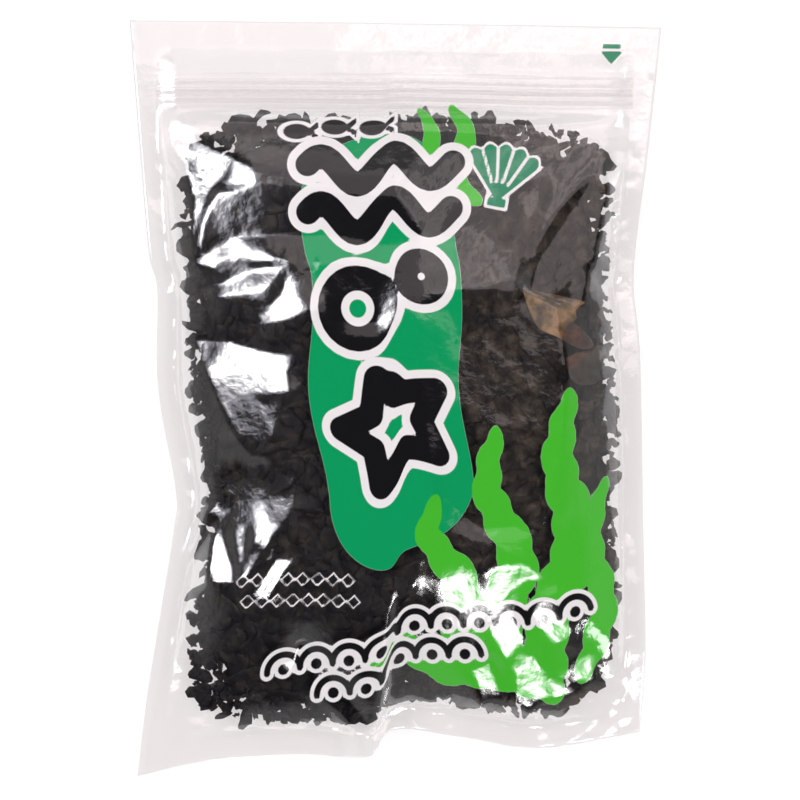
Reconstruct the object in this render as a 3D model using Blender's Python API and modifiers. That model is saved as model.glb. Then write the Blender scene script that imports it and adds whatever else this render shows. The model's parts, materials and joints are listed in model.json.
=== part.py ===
"""A clear zip pouch filled with dried cut wakame, lying on its back with its printed side up.

+X is the pouch's width, +Y runs from the bottom seal to the zip, and +Z points up out of the
front film. The origin is on the table, under the middle of the pouch.
"""

import math
import random

import bmesh
import bpy
from mathutils import Vector, noise

MM = 0.001

# Flat size of the pouch and its welded margins, in millimetres
FLAT_HALF_WIDTH = 95.0
FLAT_HALF_LENGTH = 135.0
SIDE_SEAL = 8.0
BOTTOM_SEAL = 9.0
TOP_SEAL = 8.0

# Height of the filled pouch, and the films that hold it
FILL_HEIGHT = 31.0
SEAL_LEVEL = 5.0
FILM = 0.4
WELD_GAP = 0.3
FILM_COLUMNS = 22
FILM_ROWS = 30

# The zip: two strips welded across the inside, between the films
ZIP_LINE = 108.0
ZIP_BAND = 11.0
ZIP_HALF_LENGTH = 76.0
ZIP_ROOM = 3.9
ZIP_FLANGE = 0.4
ZIP_GAP = 0.5

# The wakame: a dense bed of cut leaves, in places on the flat pouch
BED_CENTRE = (1.0, -12.0)
BED_HALF_WIDTH = 80.0
BED_HALF_LENGTH = 107.0
BED_SQUARENESS = 5.0
LEAF = 0.8
CLEAR_OF_FILM = 1.3
SHORT_OF_SEAL = 5.8
FRONT_LEAVES = 42
BACK_LEAVES = 12
RIM_LEAVES = 58
CORE_REACH = 0.95
CORE_SHARE = 0.37
SLIVER = 0.02
SEED = 11

# Plan of the filled pouch, as points along each edge: the sides pull in where it is full, and the
# bottom seal puckers left of its middle
LEFT_EDGE = [(-92.2, -135.0), (-88.2, -103.5), (-79.3, -49.0), (-78.3, -33.0), (-84.7, 3.5),
             (-84.9, 38.5), (-88.2, 54.5), (-93.2, 114.0), (-95.0, 135.0)]
RIGHT_EDGE = [(87.2, -119.4), (89.1, -94.5), (88.6, -58.0), (87.2, 14.6), (85.0, 44.6),
              (90.0, 87.0), (92.4, 109.0), (95.0, 132.4)]
BOTTOM_EDGE = [(-92.2, -135.0), (-64.7, -129.0), (-35.5, -127.3), (-10.2, -127.6), (-0.9, -118.2),
               (22.6, -121.0), (51.9, -125.0), (87.2, -119.4)]
TOP_EDGE = [(-95.0, 135.0), (0.0, 134.0), (95.0, 132.4)]

# The pucker that the bottom seal makes, and how far it runs up the front
PUCKER_X = -5.0
PUCKER_HEIGHT = 6.0
PUCKER_WIDTH = 11.0
PUCKER_REACH = 42.0

# Brown leaves on the bed's right side: centre and half sizes on the flat film, and turn
BROWN_LEAVES = [
    ("brown_leaf_upper", 63.5, 27.0, 8.5, 13.0, 12.0),
    ("brown_leaf_lower", 72.0, 5.0, 8.0, 5.5, -40.0),
]
BROWN_ROOM = 2.9

COLOURS = {
    "film": ((0.86, 0.86, 0.86, 0.3), 0.08),
    "zip": ((0.82, 0.84, 0.84, 0.6), 0.3),
    "wakame": ((0.022, 0.020, 0.018, 1.0), 0.55),
    "brown": ((0.24, 0.11, 0.025, 1.0), 0.45),
}


def clear_scene():
    for obj in list(bpy.data.objects):
        bpy.data.objects.remove(obj)


def new_collection(name):
    collection = bpy.data.collections.new(name)
    bpy.context.scene.collection.children.link(collection)
    return collection


def material(name):
    colour, roughness = COLOURS[name]
    made = bpy.data.materials.new(name)
    made.use_nodes = True
    shader = made.node_tree.nodes["Principled BSDF"]
    shader.inputs["Base Color"].default_value = (*colour[:3], 1.0)
    shader.inputs["Alpha"].default_value = colour[3]
    shader.inputs["Roughness"].default_value = roughness
    shader.inputs["Metallic"].default_value = 0.0
    return made


def ramp(t):
    """0 below 0 and 1 above 1, smooth between."""
    t = min(max(t, 0.0), 1.0)
    return t * t * (3.0 - 2.0 * t)


def along(points, share):
    """The point at this share of an edge's control points, on a smooth curve through them."""
    place = min(max(share, 0.0), 1.0) * (len(points) - 1)
    index = min(int(place), len(points) - 2)
    t = place - index
    p0, p1, p2, p3 = (
        Vector(points[min(max(index + step, 0), len(points) - 1)]) for step in (-1, 0, 1, 2)
    )
    return 0.5 * (
        2 * p1 + (p2 - p0) * t + (2 * p0 - 5 * p1 + 4 * p2 - p3) * t**2
        + (3 * p1 - p0 - 3 * p2 + p3) * t**3
    )


def at_height(points, axis, share):
    """The point of an edge at this share of the way between its ends, measured along one axis."""
    goal = points[0][axis] + (points[-1][axis] - points[0][axis]) * share
    low, high = 0.0, 1.0
    for _ in range(24):
        middle = (low + high) / 2
        if along(points, middle)[axis] < goal:
            low = middle
        else:
            high = middle
    return along(points, (low + high) / 2)


def plan(a, b):
    """Where the point (a, b) of the flat pouch lies once it is filled, seen from above."""
    u = (a + FLAT_HALF_WIDTH) / (2 * FLAT_HALF_WIDTH)
    v = (b + FLAT_HALF_LENGTH) / (2 * FLAT_HALF_LENGTH)
    left, right = at_height(LEFT_EDGE, 1, v), at_height(RIGHT_EDGE, 1, v)
    bottom, top = at_height(BOTTOM_EDGE, 0, u), at_height(TOP_EDGE, 0, u)
    corners = (
        (1 - u) * (1 - v) * Vector(LEFT_EDGE[0]) + u * (1 - v) * Vector(RIGHT_EDGE[0])
        + (1 - u) * v * Vector(LEFT_EDGE[-1]) + u * v * Vector(RIGHT_EDGE[-1])
    )
    return (1 - u) * left + u * right + (1 - v) * bottom + v * top - corners


def fullness(a, b):
    """How far the pouch is filled at (a, b), from 0 at the seals and the zip to 1 in the middle."""
    across = abs(a) / (FLAT_HALF_WIDTH - SIDE_SEAL)
    low = BOTTOM_SEAL - FLAT_HALF_LENGTH
    high = ZIP_LINE - ZIP_BAND / 2
    lengthwise = abs(b - (low + high) / 2) / ((high - low) / 2)
    return max(0.0, 1 - across**2.6) ** 0.7 * max(0.0, 1 - lengthwise**3.4) ** 0.75


def pucker(a, b):
    """Rise of the fold that runs up from the bottom seal."""
    fade = ramp((b + FLAT_HALF_LENGTH - BOTTOM_SEAL - PUCKER_REACH) / -PUCKER_REACH)
    lean = PUCKER_X - 0.25 * (b + FLAT_HALF_LENGTH)
    return PUCKER_HEIGHT * fade * math.exp(-(((a - lean) / PUCKER_WIDTH) ** 2))


def seal_level(a, b):
    """Height of the middle of the two films where they meet: even along the zip."""
    droop = 2.6 * ramp((-b - 92) / 40) + 2.6 * ramp((b - ZIP_LINE - 10) / 17)
    wave = 0.7 * math.sin(b / 15.0 + a / 60.0)
    return SEAL_LEVEL - droop + wave * ramp((abs(a) - 55) / 30) * ramp((ZIP_LINE - 16 - b) / 30)


def zip_opening(a, b):
    """How far the zip strips hold each film from the middle at (a, b)."""
    sides = ramp((FLAT_HALF_WIDTH - SIDE_SEAL - abs(a)) / 8)
    over = ramp((FLAT_HALF_LENGTH - TOP_SEAL - b) / 9)
    return (ZIP_ROOM - WELD_GAP) / 2 * sides * over * ramp((b - ZIP_LINE + 16) / 6)


def lumps(a, b):
    """Soft lumps that the leaves press into the front film."""
    return noise.noise(Vector((a / 34.0, b / 34.0, 3.0)))


def front_height(a, b):
    """Top of the front film."""
    full = fullness(a, b)
    weld = FILM + WELD_GAP / 2
    level = seal_level(a, b) + weld + zip_opening(a, b) + pucker(a, b)
    return level + (FILL_HEIGHT - SEAL_LEVEL - weld + 2.2 * lumps(a, b)) * full


def back_height(a, b):
    """Underside of the back film: flat on the table under the filling."""
    weld = FILM + WELD_GAP / 2
    level = seal_level(a, b) - weld - zip_opening(a, b) + pucker(a, b)
    return level * (1 - ramp(fullness(a, b) / 0.42))


def in_pouch(a, b, share, room=0.0):
    """A point inside the pouch, in metres: share is 0 on the back film and 1 under the front one.

    Room is left free under the front film.
    """
    x, y = plan(a, b)
    low = back_height(a, b) + FILM + CLEAR_OF_FILM
    high = front_height(a, b) - FILM - CLEAR_OF_FILM - room
    return Vector((x, y, low + max(high - low, LEAF) * share)) * MM


def to_seal_lines(place, cells, half, first_seal, last_seal):
    """Moves an even grid line, from -1 to 1: the outermost cells are the seals, and the cells get
    narrower towards them, where the film is steep."""
    index = round((place + 1) / 2 * cells)
    if index in (0, cells):
        return -half if index == 0 else half
    low, high = first_seal - half, half - last_seal
    even = 2 * (index - 1) / (cells - 2) - 1
    return (low + high) / 2 + (high - low) / 2 * (even + math.sin(even * math.pi / 2)) / 2


def make_film(name, height, outward, film_material, collection):
    """One film, as a sheet over the whole pouch that Solidify thickens inwards."""
    bpy.ops.mesh.primitive_grid_add(
        x_subdivisions=FILM_COLUMNS, y_subdivisions=FILM_ROWS, size=2.0
    )
    film = bpy.context.object
    film.name = film.data.name = name
    for vertex in film.data.vertices:
        a = to_seal_lines(vertex.co.x, FILM_COLUMNS, FLAT_HALF_WIDTH, SIDE_SEAL, SIDE_SEAL)
        b = to_seal_lines(vertex.co.y, FILM_ROWS, FLAT_HALF_LENGTH, BOTTOM_SEAL, TOP_SEAL)
        x, y = plan(a, b)
        vertex.co = Vector((x, y, height(a, b))) * MM
    if not outward:
        film.data.flip_normals()
    film.data.materials.append(film_material)
    film.data.shade_smooth()
    triangulate = film.modifiers.new("Same triangles on both faces", "TRIANGULATE")
    triangulate.quad_method = "FIXED"
    thicken = film.modifiers.new("Thickness", "SOLIDIFY")
    thicken.thickness = FILM * MM
    thicken.offset = -1.0
    move_to(film, collection)
    return film


def move_to(obj, collection):
    for old in list(obj.users_collection):
        old.objects.unlink(obj)
    collection.objects.link(obj)


def strip_profile(rib):
    """Cross-section of a zip strip as (y, z), with its flange on z = 0: a rib, or its two lips."""
    half = ZIP_BAND / 2
    flange = [(-half, 0), (half, 0), (half, ZIP_FLANGE)]
    if rib:
        right = [(0.35, ZIP_FLANGE), (0.35, 1.35), (0.95, 1.55)]
        top = right + [(0, 2.2)]
    else:
        right = [(1.9, ZIP_FLANGE), (1.9, 2.2), (0.65, 2.05), (0.65, 1.7), (1.3, 1.6),
                 (1.3, ZIP_FLANGE)]
        top = right
    return flange + top + [(-y, z) for y, z in reversed(right)] + [(-half, ZIP_FLANGE)]


def make_zip_strip(name, rib, z, zip_material, collection):
    """A zip strip as its profile, a flat curve, extruded along the pouch's width."""
    curve = bpy.data.curves.new(name, "CURVE")
    curve.dimensions = "2D"
    curve.fill_mode = "BOTH"
    curve.extrude = ZIP_HALF_LENGTH * MM
    profile = strip_profile(rib)
    spline = curve.splines.new("POLY")
    spline.points.add(len(profile) - 1)
    for point, (y, height) in zip(spline.points, profile):
        point.co = (y * MM, height * MM, 0, 1)
    spline.use_cyclic_u = True
    strip = bpy.data.objects.new(name, curve)
    # The profile's own x and y become the pouch's Y and Z, and the rib points down
    strip.rotation_euler = (math.radians(90), 0, math.radians(90)) if not rib else (
        math.radians(-90), 0, math.radians(90))
    strip.location = Vector((-0.4, plan(0, ZIP_LINE)[1], z)) * MM
    curve.materials.append(zip_material)
    collection.objects.link(strip)
    return strip


def bed_reach(angle):
    """The bed's rim in this direction, as a share of its half sizes: a rounded rectangle."""
    cos, sin = abs(math.cos(angle)), abs(math.sin(angle))
    rim = (cos**BED_SQUARENESS + sin**BED_SQUARENESS) ** (-1 / BED_SQUARENESS)
    return rim * (1 + 0.05 * noise.noise(Vector((2.2 * cos, 2.2 * math.sin(angle), 9.0))))


def on_bed(angle, reach):
    """The place on the flat pouch at this share of the way to the bed's rim."""
    size = reach * bed_reach(angle)
    return (BED_CENTRE[0] + BED_HALF_WIDTH * size * math.cos(angle),
            BED_CENTRE[1] + BED_HALF_LENGTH * size * math.sin(angle))


def room_for_brown(a, b):
    """How far the bed stays down under the brown leaves."""
    deepest = 0.0
    for _, centre_a, centre_b, half_a, half_b, _ in BROWN_LEAVES:
        near = math.hypot(a - centre_a, b - centre_b) / max(half_a, half_b)
        deepest = max(deepest, ramp((2.0 - near) / 0.5))
    return BROWN_ROOM * deepest


def in_bed(a, b, share):
    """A point of the bed, which ends short of the seals and the zip."""
    side = FLAT_HALF_WIDTH - SIDE_SEAL - SHORT_OF_SEAL
    low = BOTTOM_SEAL - FLAT_HALF_LENGTH + SHORT_OF_SEAL
    high = ZIP_LINE - ZIP_BAND / 2 - SHORT_OF_SEAL
    a, b = min(max(a, -side), side), min(max(b, low), high)
    return in_pouch(a, b, min(max(share, 0.0), 1.0), room_for_brown(a, b))


def core_share(a, b):
    """How far the core's top is from the middle of the pouch's height, at (a, b)."""
    flat_a = (a - BED_CENTRE[0]) / BED_HALF_WIDTH
    flat_b = (b - BED_CENTRE[1]) / BED_HALF_LENGTH
    reach = math.hypot(flat_a, flat_b) / bed_reach(math.atan2(flat_b, flat_a))
    return CORE_SHARE * max(0.0, 1 - min(reach / CORE_REACH, 1.0) ** 4) ** 0.25


def make_core(wakame, collection):
    """The middle of the bed: a rounded slab, from a sphere squared off in plan."""
    bpy.ops.mesh.primitive_uv_sphere_add(segments=24, ring_count=10)
    core = bpy.context.object
    core.name = core.data.name = "wakame_bed"
    for vertex in core.data.vertices:
        flat = Vector((vertex.co.x, vertex.co.y))
        angle = math.atan2(flat.y, flat.x)
        a, b = on_bed(angle, CORE_REACH * flat.length**0.6)
        side = math.copysign(core_share(a, b), vertex.co.z)
        if abs(vertex.co.z) < 0.01:
            side = 0.0
        lump = 0.03 * noise.noise(Vector((a / 9.0, b / 9.0, vertex.co.z)))
        vertex.co = in_bed(a, b, 0.5 + side + lump)
    core.data.materials.append(wakame)
    move_to(core, collection)
    return core


def leaf_sheet(draw, half_a, half_b, columns, rows):
    """A cut leaf in its own plane: rounded, with its edge waved in and out, as a grid mesh."""
    sheet = bmesh.new()
    bmesh.ops.create_grid(sheet, x_segments=columns, y_segments=rows, size=1.0)
    phase = draw.uniform(0, math.tau)
    lobes = draw.choice((3, 4, 5))
    for vertex in sheet.verts:
        s, t = vertex.co.x, vertex.co.y
        angle = math.atan2(t, s)
        rim = max(abs(s), abs(t))
        round_off = 1.0 - 0.16 * abs(math.sin(2 * angle))
        wave = 1.0 + 0.16 * rim * math.sin(lobes * angle + phase) + draw.uniform(-0.07, 0.07) * rim
        vertex.co = (s * half_a * round_off * wave, t * half_b * round_off * wave, 0)
    bmesh.ops.triangulate(sheet, faces=sheet.faces)
    return sheet


def place_leaf(name, sheet, place, leaf_material, collection):
    """Puts a leaf's points in the pouch and gives it its thickness."""
    for vertex in sheet.verts:
        vertex.co = place(vertex.co.x, vertex.co.y)
    bmesh.ops.recalc_face_normals(sheet, faces=sheet.faces)
    mesh = bpy.data.meshes.new(name)
    sheet.to_mesh(mesh)
    sheet.free()
    leaf = bpy.data.objects.new(name, mesh)
    mesh.materials.append(leaf_material)
    thicken = leaf.modifiers.new("Thickness", "SOLIDIFY")
    thicken.thickness = LEAF * MM
    thicken.offset = 0.0
    collection.objects.link(leaf)
    return leaf


def lying_leaf(draw, centre_a, centre_b, side):
    """A leaf's place on the core's front (side 1) or back (-1): crumpled, with lifted edges."""
    turn = draw.uniform(0, math.tau)
    cos, sin = math.cos(turn), math.sin(turn)
    phase = draw.uniform(0, math.tau)
    tilt = draw.uniform(-0.004, 0.004)
    proud = draw.uniform(0.0, 0.05)

    def place(s, t):
        a, b = centre_a + s * cos - t * sin, centre_b + s * sin + t * cos
        crumple = 0.025 * math.sin(0.32 * s + phase) * math.cos(0.27 * t + phase)
        lift = proud + 0.07 * (s * s + t * t) / 200 + crumple + tilt * s
        return in_bed(a, b, 0.5 + side * (core_share(a, b) + lift))

    return place


def rim_leaf(draw, angle):
    """A leaf's place at the bed's rim: it stands out of the core and curls up or down."""
    centre = Vector(on_bed(angle, CORE_REACH))
    out = (Vector(on_bed(angle, 1.0)) - centre).normalized()
    side = Vector((-out.y, out.x))
    share = draw.uniform(0.3, 0.7)
    curl = draw.uniform(-0.3, 0.3)

    def place(s, t):
        a, b = centre + out * s + side * t
        return in_bed(a, b, share + curl * (max(s, 0.0) / 6.0) ** 2 + 0.02 * t)

    return place


def spread_over(draw, count, margin):
    """Places over the bed on a jittered grid, so that the leaves cover it evenly."""
    half_width, half_length = BED_HALF_WIDTH - margin, BED_HALF_LENGTH - margin
    columns = max(1, round(math.sqrt(count * half_width / half_length)))
    rows = math.ceil(count / columns)
    for index in range(columns * rows):
        row, column = divmod(index, columns)
        across = 2 * (column + 0.5 + draw.uniform(-0.3, 0.3)) / columns - 1
        along_bed = 2 * (row + 0.5 + draw.uniform(-0.3, 0.3)) / rows - 1
        yield BED_CENTRE[0] + half_width * across, BED_CENTRE[1] + half_length * along_bed


def make_bed(wakame, collection, loose):
    """The bed of dried leaves: core, front, back and rim leaves joined into one solid."""
    draw = random.Random(SEED)
    core = make_core(wakame, collection)
    for count, margin, side in ((FRONT_LEAVES, 6, 1), (BACK_LEAVES, 14, -1)):
        for index, (a, b) in enumerate(spread_over(draw, count, margin)):
            sheet = leaf_sheet(draw, draw.uniform(11, 16), draw.uniform(9, 13), 3, 3)
            place_leaf(f"lying_{side}_{index}", sheet, lying_leaf(draw, a, b, side), wakame, loose)
    for index in range(RIM_LEAVES):
        angle = math.tau * (index + draw.uniform(-0.3, 0.3)) / RIM_LEAVES
        sheet = leaf_sheet(draw, draw.uniform(5.5, 8.0), draw.uniform(3.5, 6.0), 2, 2)
        place_leaf(f"rim_{index}", sheet, rim_leaf(draw, angle), wakame, loose)
    join_leaves(core, loose)
    return core


def join_leaves(core, loose):
    """One union of the core and every loose leaf, applied."""
    join = core.modifiers.new("Leaves", "BOOLEAN")
    join.operation = "UNION"
    join.operand_type = "COLLECTION"
    join.collection = loose
    join.solver = "MANIFOLD"
    bpy.context.view_layer.update()
    graph = bpy.context.evaluated_depsgraph_get()
    joined = bpy.data.meshes.new_from_object(core.evaluated_get(graph))
    core.modifiers.clear()
    core.data = joined
    for obj in list(loose.objects):
        bpy.data.objects.remove(obj)
    keep_largest_piece(joined)


def keep_largest_piece(mesh):
    """Drops scraps that touch nothing, and hollows inside, so that the bed is one body."""
    whole = bmesh.new()
    whole.from_mesh(mesh)
    bmesh.ops.triangulate(whole, faces=whole.faces)
    bmesh.ops.dissolve_degenerate(whole, dist=SLIVER * MM, edges=whole.edges)
    bmesh.ops.triangulate(whole, faces=whole.faces)
    unseen, pieces = set(whole.faces), []
    while unseen:
        front = [unseen.pop()]
        piece = set(front)
        while front:
            edges = [edge for edge in front.pop().edges if len(edge.link_faces) == 2]
            near = {face for edge in edges for face in edge.link_faces} & unseen
            unseen -= near
            piece |= near
            front.extend(near)
        pieces.append(piece)
    pieces.sort(key=len)
    scraps = [face for piece in pieces[:-1] for face in piece]
    bmesh.ops.delete(whole, geom=scraps, context="FACES")
    whole.to_mesh(mesh)
    whole.free()


def make_brown_leaf(name, centre_a, centre_b, half_a, half_b, turn, brown, collection):
    """A large brown leaf that lies folded on the bed, under the front film."""
    draw = random.Random(SEED)
    sheet = leaf_sheet(draw, half_a, half_b, 6, 5)
    turned = math.radians(turn)
    cos, sin = math.cos(turned), math.sin(turned)

    def place(s, t):
        a, b = centre_a + s * cos - t * sin, centre_b + s * sin + t * cos
        fold = 0.5 * math.cos(0.6 * s) + 0.3 * math.sin(0.5 * t)
        return in_pouch(a, b, 1.0, 1.4 + fold)

    return place_leaf(name, sheet, place, brown, collection)


def main():
    clear_scene()
    pouch = new_collection("wakame_pouch")
    loose = new_collection("leaves_to_join")
    film = material("film")
    zip_plastic = material("zip")
    wakame = material("wakame")
    brown = material("brown")
    make_film("front_film", front_height, True, film, pouch)
    make_film("back_film", back_height, False, film, pouch)
    middle = seal_level(0, ZIP_LINE)
    inside = ZIP_ROOM / 2 - ZIP_GAP
    make_zip_strip("zip_rib_strip", True, middle + inside, zip_plastic, pouch)
    make_zip_strip("zip_groove_strip", False, middle - inside, zip_plastic, pouch)
    make_bed(wakame, pouch, loose)
    for name, a, b, half_a, half_b, turn in BROWN_LEAVES:
        make_brown_leaf(name, a, b, half_a, half_b, turn, brown, pouch)


main()
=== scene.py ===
import json
import math
import random

import bmesh
import bpy
import numpy as np
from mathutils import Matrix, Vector, geometry, noise
from mathutils.bvhtree import BVHTree

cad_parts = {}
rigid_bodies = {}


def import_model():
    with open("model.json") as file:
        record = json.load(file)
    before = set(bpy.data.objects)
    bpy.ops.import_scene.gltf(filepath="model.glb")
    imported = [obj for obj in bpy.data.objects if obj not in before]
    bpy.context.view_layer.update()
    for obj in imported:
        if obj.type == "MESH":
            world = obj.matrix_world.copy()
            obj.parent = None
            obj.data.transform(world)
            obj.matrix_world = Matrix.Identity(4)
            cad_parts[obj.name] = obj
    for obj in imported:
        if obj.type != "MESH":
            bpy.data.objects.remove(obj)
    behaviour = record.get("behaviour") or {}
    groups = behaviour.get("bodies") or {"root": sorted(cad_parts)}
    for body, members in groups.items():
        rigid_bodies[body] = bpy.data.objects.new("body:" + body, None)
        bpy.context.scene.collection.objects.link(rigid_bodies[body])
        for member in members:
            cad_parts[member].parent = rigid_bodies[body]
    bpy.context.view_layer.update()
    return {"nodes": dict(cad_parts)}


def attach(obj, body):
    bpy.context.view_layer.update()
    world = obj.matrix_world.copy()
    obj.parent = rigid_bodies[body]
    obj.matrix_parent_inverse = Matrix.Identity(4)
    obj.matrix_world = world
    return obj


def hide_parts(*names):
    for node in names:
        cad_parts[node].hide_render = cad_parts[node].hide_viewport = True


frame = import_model()
mm = 0.001
print("frame loaded:", ", ".join(sorted(frame["nodes"])))

# The pouch's shape. a and b are places on the flat film, x and y the same places once it is full,
# all in millimetres
pouch = {
    "halfWidth": 95.0, "halfLength": 135.0,
    "sideSeal": 8.0, "bottomSeal": 9.0, "topSeal": 8.0,
    "fillHeight": 31.0, "sealLevel": 5.0,
    "filmThickness": 0.18, "weldGap": 0.08, "cell": 1.1,
    "zipLine": 108.0, "zipBand": 11.0, "zipRoom": 3.6,
    "droop": 2.6, "sealWave": 0.7, "headroom": 0.55, "unevenness": 2.2, "flatBack": 0.42,
    "puckerX": -5.0, "puckerHeight": 6.0, "puckerWidth": 11.0, "puckerReach": 42.0,
}

# seen from above, the sides pull in where it is full and the bottom seal puckers
leftEdge = [(-92.2, -135.0), (-88.2, -103.5), (-79.3, -49.0), (-78.3, -33.0), (-84.7, 3.5),
            (-84.9, 38.5), (-88.2, 54.5), (-93.2, 114.0), (-95.0, 135.0)]
rightEdge = [(87.2, -119.4), (89.1, -94.5), (88.6, -58.0), (87.2, 14.6), (85.0, 44.6),
             (90.0, 87.0), (92.4, 109.0), (95.0, 132.4)]
bottomEdge = [(-92.2, -135.0), (-64.7, -129.0), (-35.5, -127.3), (-10.2, -127.6), (-0.9, -118.2),
              (22.6, -121.0), (51.9, -125.0), (87.2, -119.4)]
topEdge = [(-95.0, 135.0), (0.0, 134.0), (95.0, 132.4)]


def addObject(name, data):
    made = bpy.data.objects.new(name, data)
    bpy.context.scene.collection.objects.link(made)
    return made


def meshFrom(bm, name):
    mesh = bpy.data.meshes.new(name)
    bm.to_mesh(mesh)
    bm.free()
    return mesh


def ramp(t):
    t = np.clip(t, 0.0, 1.0)
    return t * t * (3.0 - 2.0 * t)


def smoothLine(points, steps=24):
    # a curve through the points
    points = np.array(points, float)
    padded = np.vstack([points[0], points, points[-1]])
    t = np.linspace(0, 1, steps, endpoint=False)[:, None]
    parts = []
    for p0, p1, p2, p3 in zip(padded, padded[1:], padded[2:], padded[3:]):
        parts.append(0.5 * (2 * p1 + (p2 - p0) * t + (2 * p0 - 5 * p1 + 4 * p2 - p3) * t**2
                            + (3 * p1 - p0 - 3 * p2 + p3) * t**3))
    return np.vstack(parts + [points[-1:]])


def lengthAlong(line):
    return np.concatenate([[0], np.cumsum(np.hypot(*np.diff(line, axis=0).T))])


def nearestAlong(x, y, start, end):
    # the share of the way from start to end that lies nearest, and how far off that is
    run = end - start
    t = np.clip(((x - start[0]) * run[0] + (y - start[1]) * run[1]) / max(run @ run, 1e-9), 0, 1)
    return t, np.hypot(x - start[0] - t * run[0], y - start[1] - t * run[1])


edgeLines = {name: smoothLine(points) for name, points in
             (("left", leftEdge), ("right", rightEdge), ("bottom", bottomEdge), ("top", topEdge))}


def onEdge(name, axis, share):
    line = edgeLines[name]
    goal = line[0, axis] + (line[-1, axis] - line[0, axis]) * share
    return np.interp(goal, line[:, axis], line[:, 0]), np.interp(goal, line[:, axis], line[:, 1])


def plan(a, b):
    # where a point of the flat film lies once the pouch is full
    u = (a + pouch["halfWidth"]) / (2 * pouch["halfWidth"])
    v = (b + pouch["halfLength"]) / (2 * pouch["halfLength"])
    left, right = onEdge("left", 1, v), onEdge("right", 1, v)
    bottom, top = onEdge("bottom", 0, u), onEdge("top", 0, u)
    placed = []
    for k in (0, 1):
        corners = ((1 - u) * (1 - v) * leftEdge[0][k] + u * (1 - v) * rightEdge[0][k]
                   + (1 - u) * v * leftEdge[-1][k] + u * v * rightEdge[-1][k])
        placed.append((1 - u) * left[k] + u * right[k] + (1 - v) * bottom[k] + v * top[k]
                      - corners)
    return placed[0], placed[1]


def noiseAt(a, b, size, seed):
    places = np.stack([np.ravel(a) / size, np.ravel(b) / size], -1)
    return np.array([noise.noise(Vector((s, t, seed))) for s, t in places]).reshape(np.shape(a))


def fullness(a, b):
    across = np.abs(a) / (pouch["halfWidth"] - pouch["sideSeal"])
    low = pouch["bottomSeal"] - pouch["halfLength"]
    high = pouch["zipLine"] - pouch["zipBand"] / 2
    lengthwise = np.abs(b - (low + high) / 2) / ((high - low) / 2)
    return (np.maximum(0, 1 - across**2.6) ** 0.7) * (np.maximum(0, 1 - lengthwise**3.4) ** 0.75)


def insets(a, b):
    # how far a place is from the side seals and from the bottom seal
    return (pouch["halfWidth"] - pouch["sideSeal"] - np.abs(a),
            b + pouch["halfLength"] - pouch["bottomSeal"])


def pucker(a, b):
    fade = ramp(1 - insets(a, b)[1] / pouch["puckerReach"])
    lean = pouch["puckerX"] - 0.25 * (b + pouch["halfLength"])
    return pouch["puckerHeight"] * fade * np.exp(-(((a - lean) / pouch["puckerWidth"]) ** 2))


def sealLevel(a, b):
    droop = (pouch["droop"] * ramp((-b - 92) / 40)
             + pouch["droop"] * ramp((b - pouch["zipLine"] - 10) / 17))
    wave = pouch["sealWave"] * np.sin(b / 15.0 + a / 60.0)
    wave = wave * ramp((np.abs(a) - 55) / 30) * ramp((pouch["zipLine"] - 16 - b) / 30)
    return pouch["sealLevel"] - droop + wave


def zipOpening(a, b):
    sides = ramp(insets(a, b)[0] / 8)
    over = ramp((pouch["halfLength"] - pouch["topSeal"] - b) / 9)
    return pouch["zipRoom"] / 2 * sides * over * ramp((b - pouch["zipLine"] + 16) / 6)


def frontHeight(a, b):
    weld = pouch["filmThickness"] + pouch["weldGap"] / 2
    level = sealLevel(a, b) + weld + zipOpening(a, b) + pucker(a, b)
    swell = pouch["fillHeight"] - pouch["sealLevel"] - pouch["headroom"]
    return level + (swell + pouch["unevenness"] * noiseAt(a, b, 34.0, 3.0)) * fullness(a, b)


def backHeight(a, b):
    weld = pouch["filmThickness"] + pouch["weldGap"] / 2
    level = sealLevel(a, b) - weld - zipOpening(a, b) + pucker(a, b)
    return level * (1 - ramp(fullness(a, b) / pouch["flatBack"]))


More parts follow.
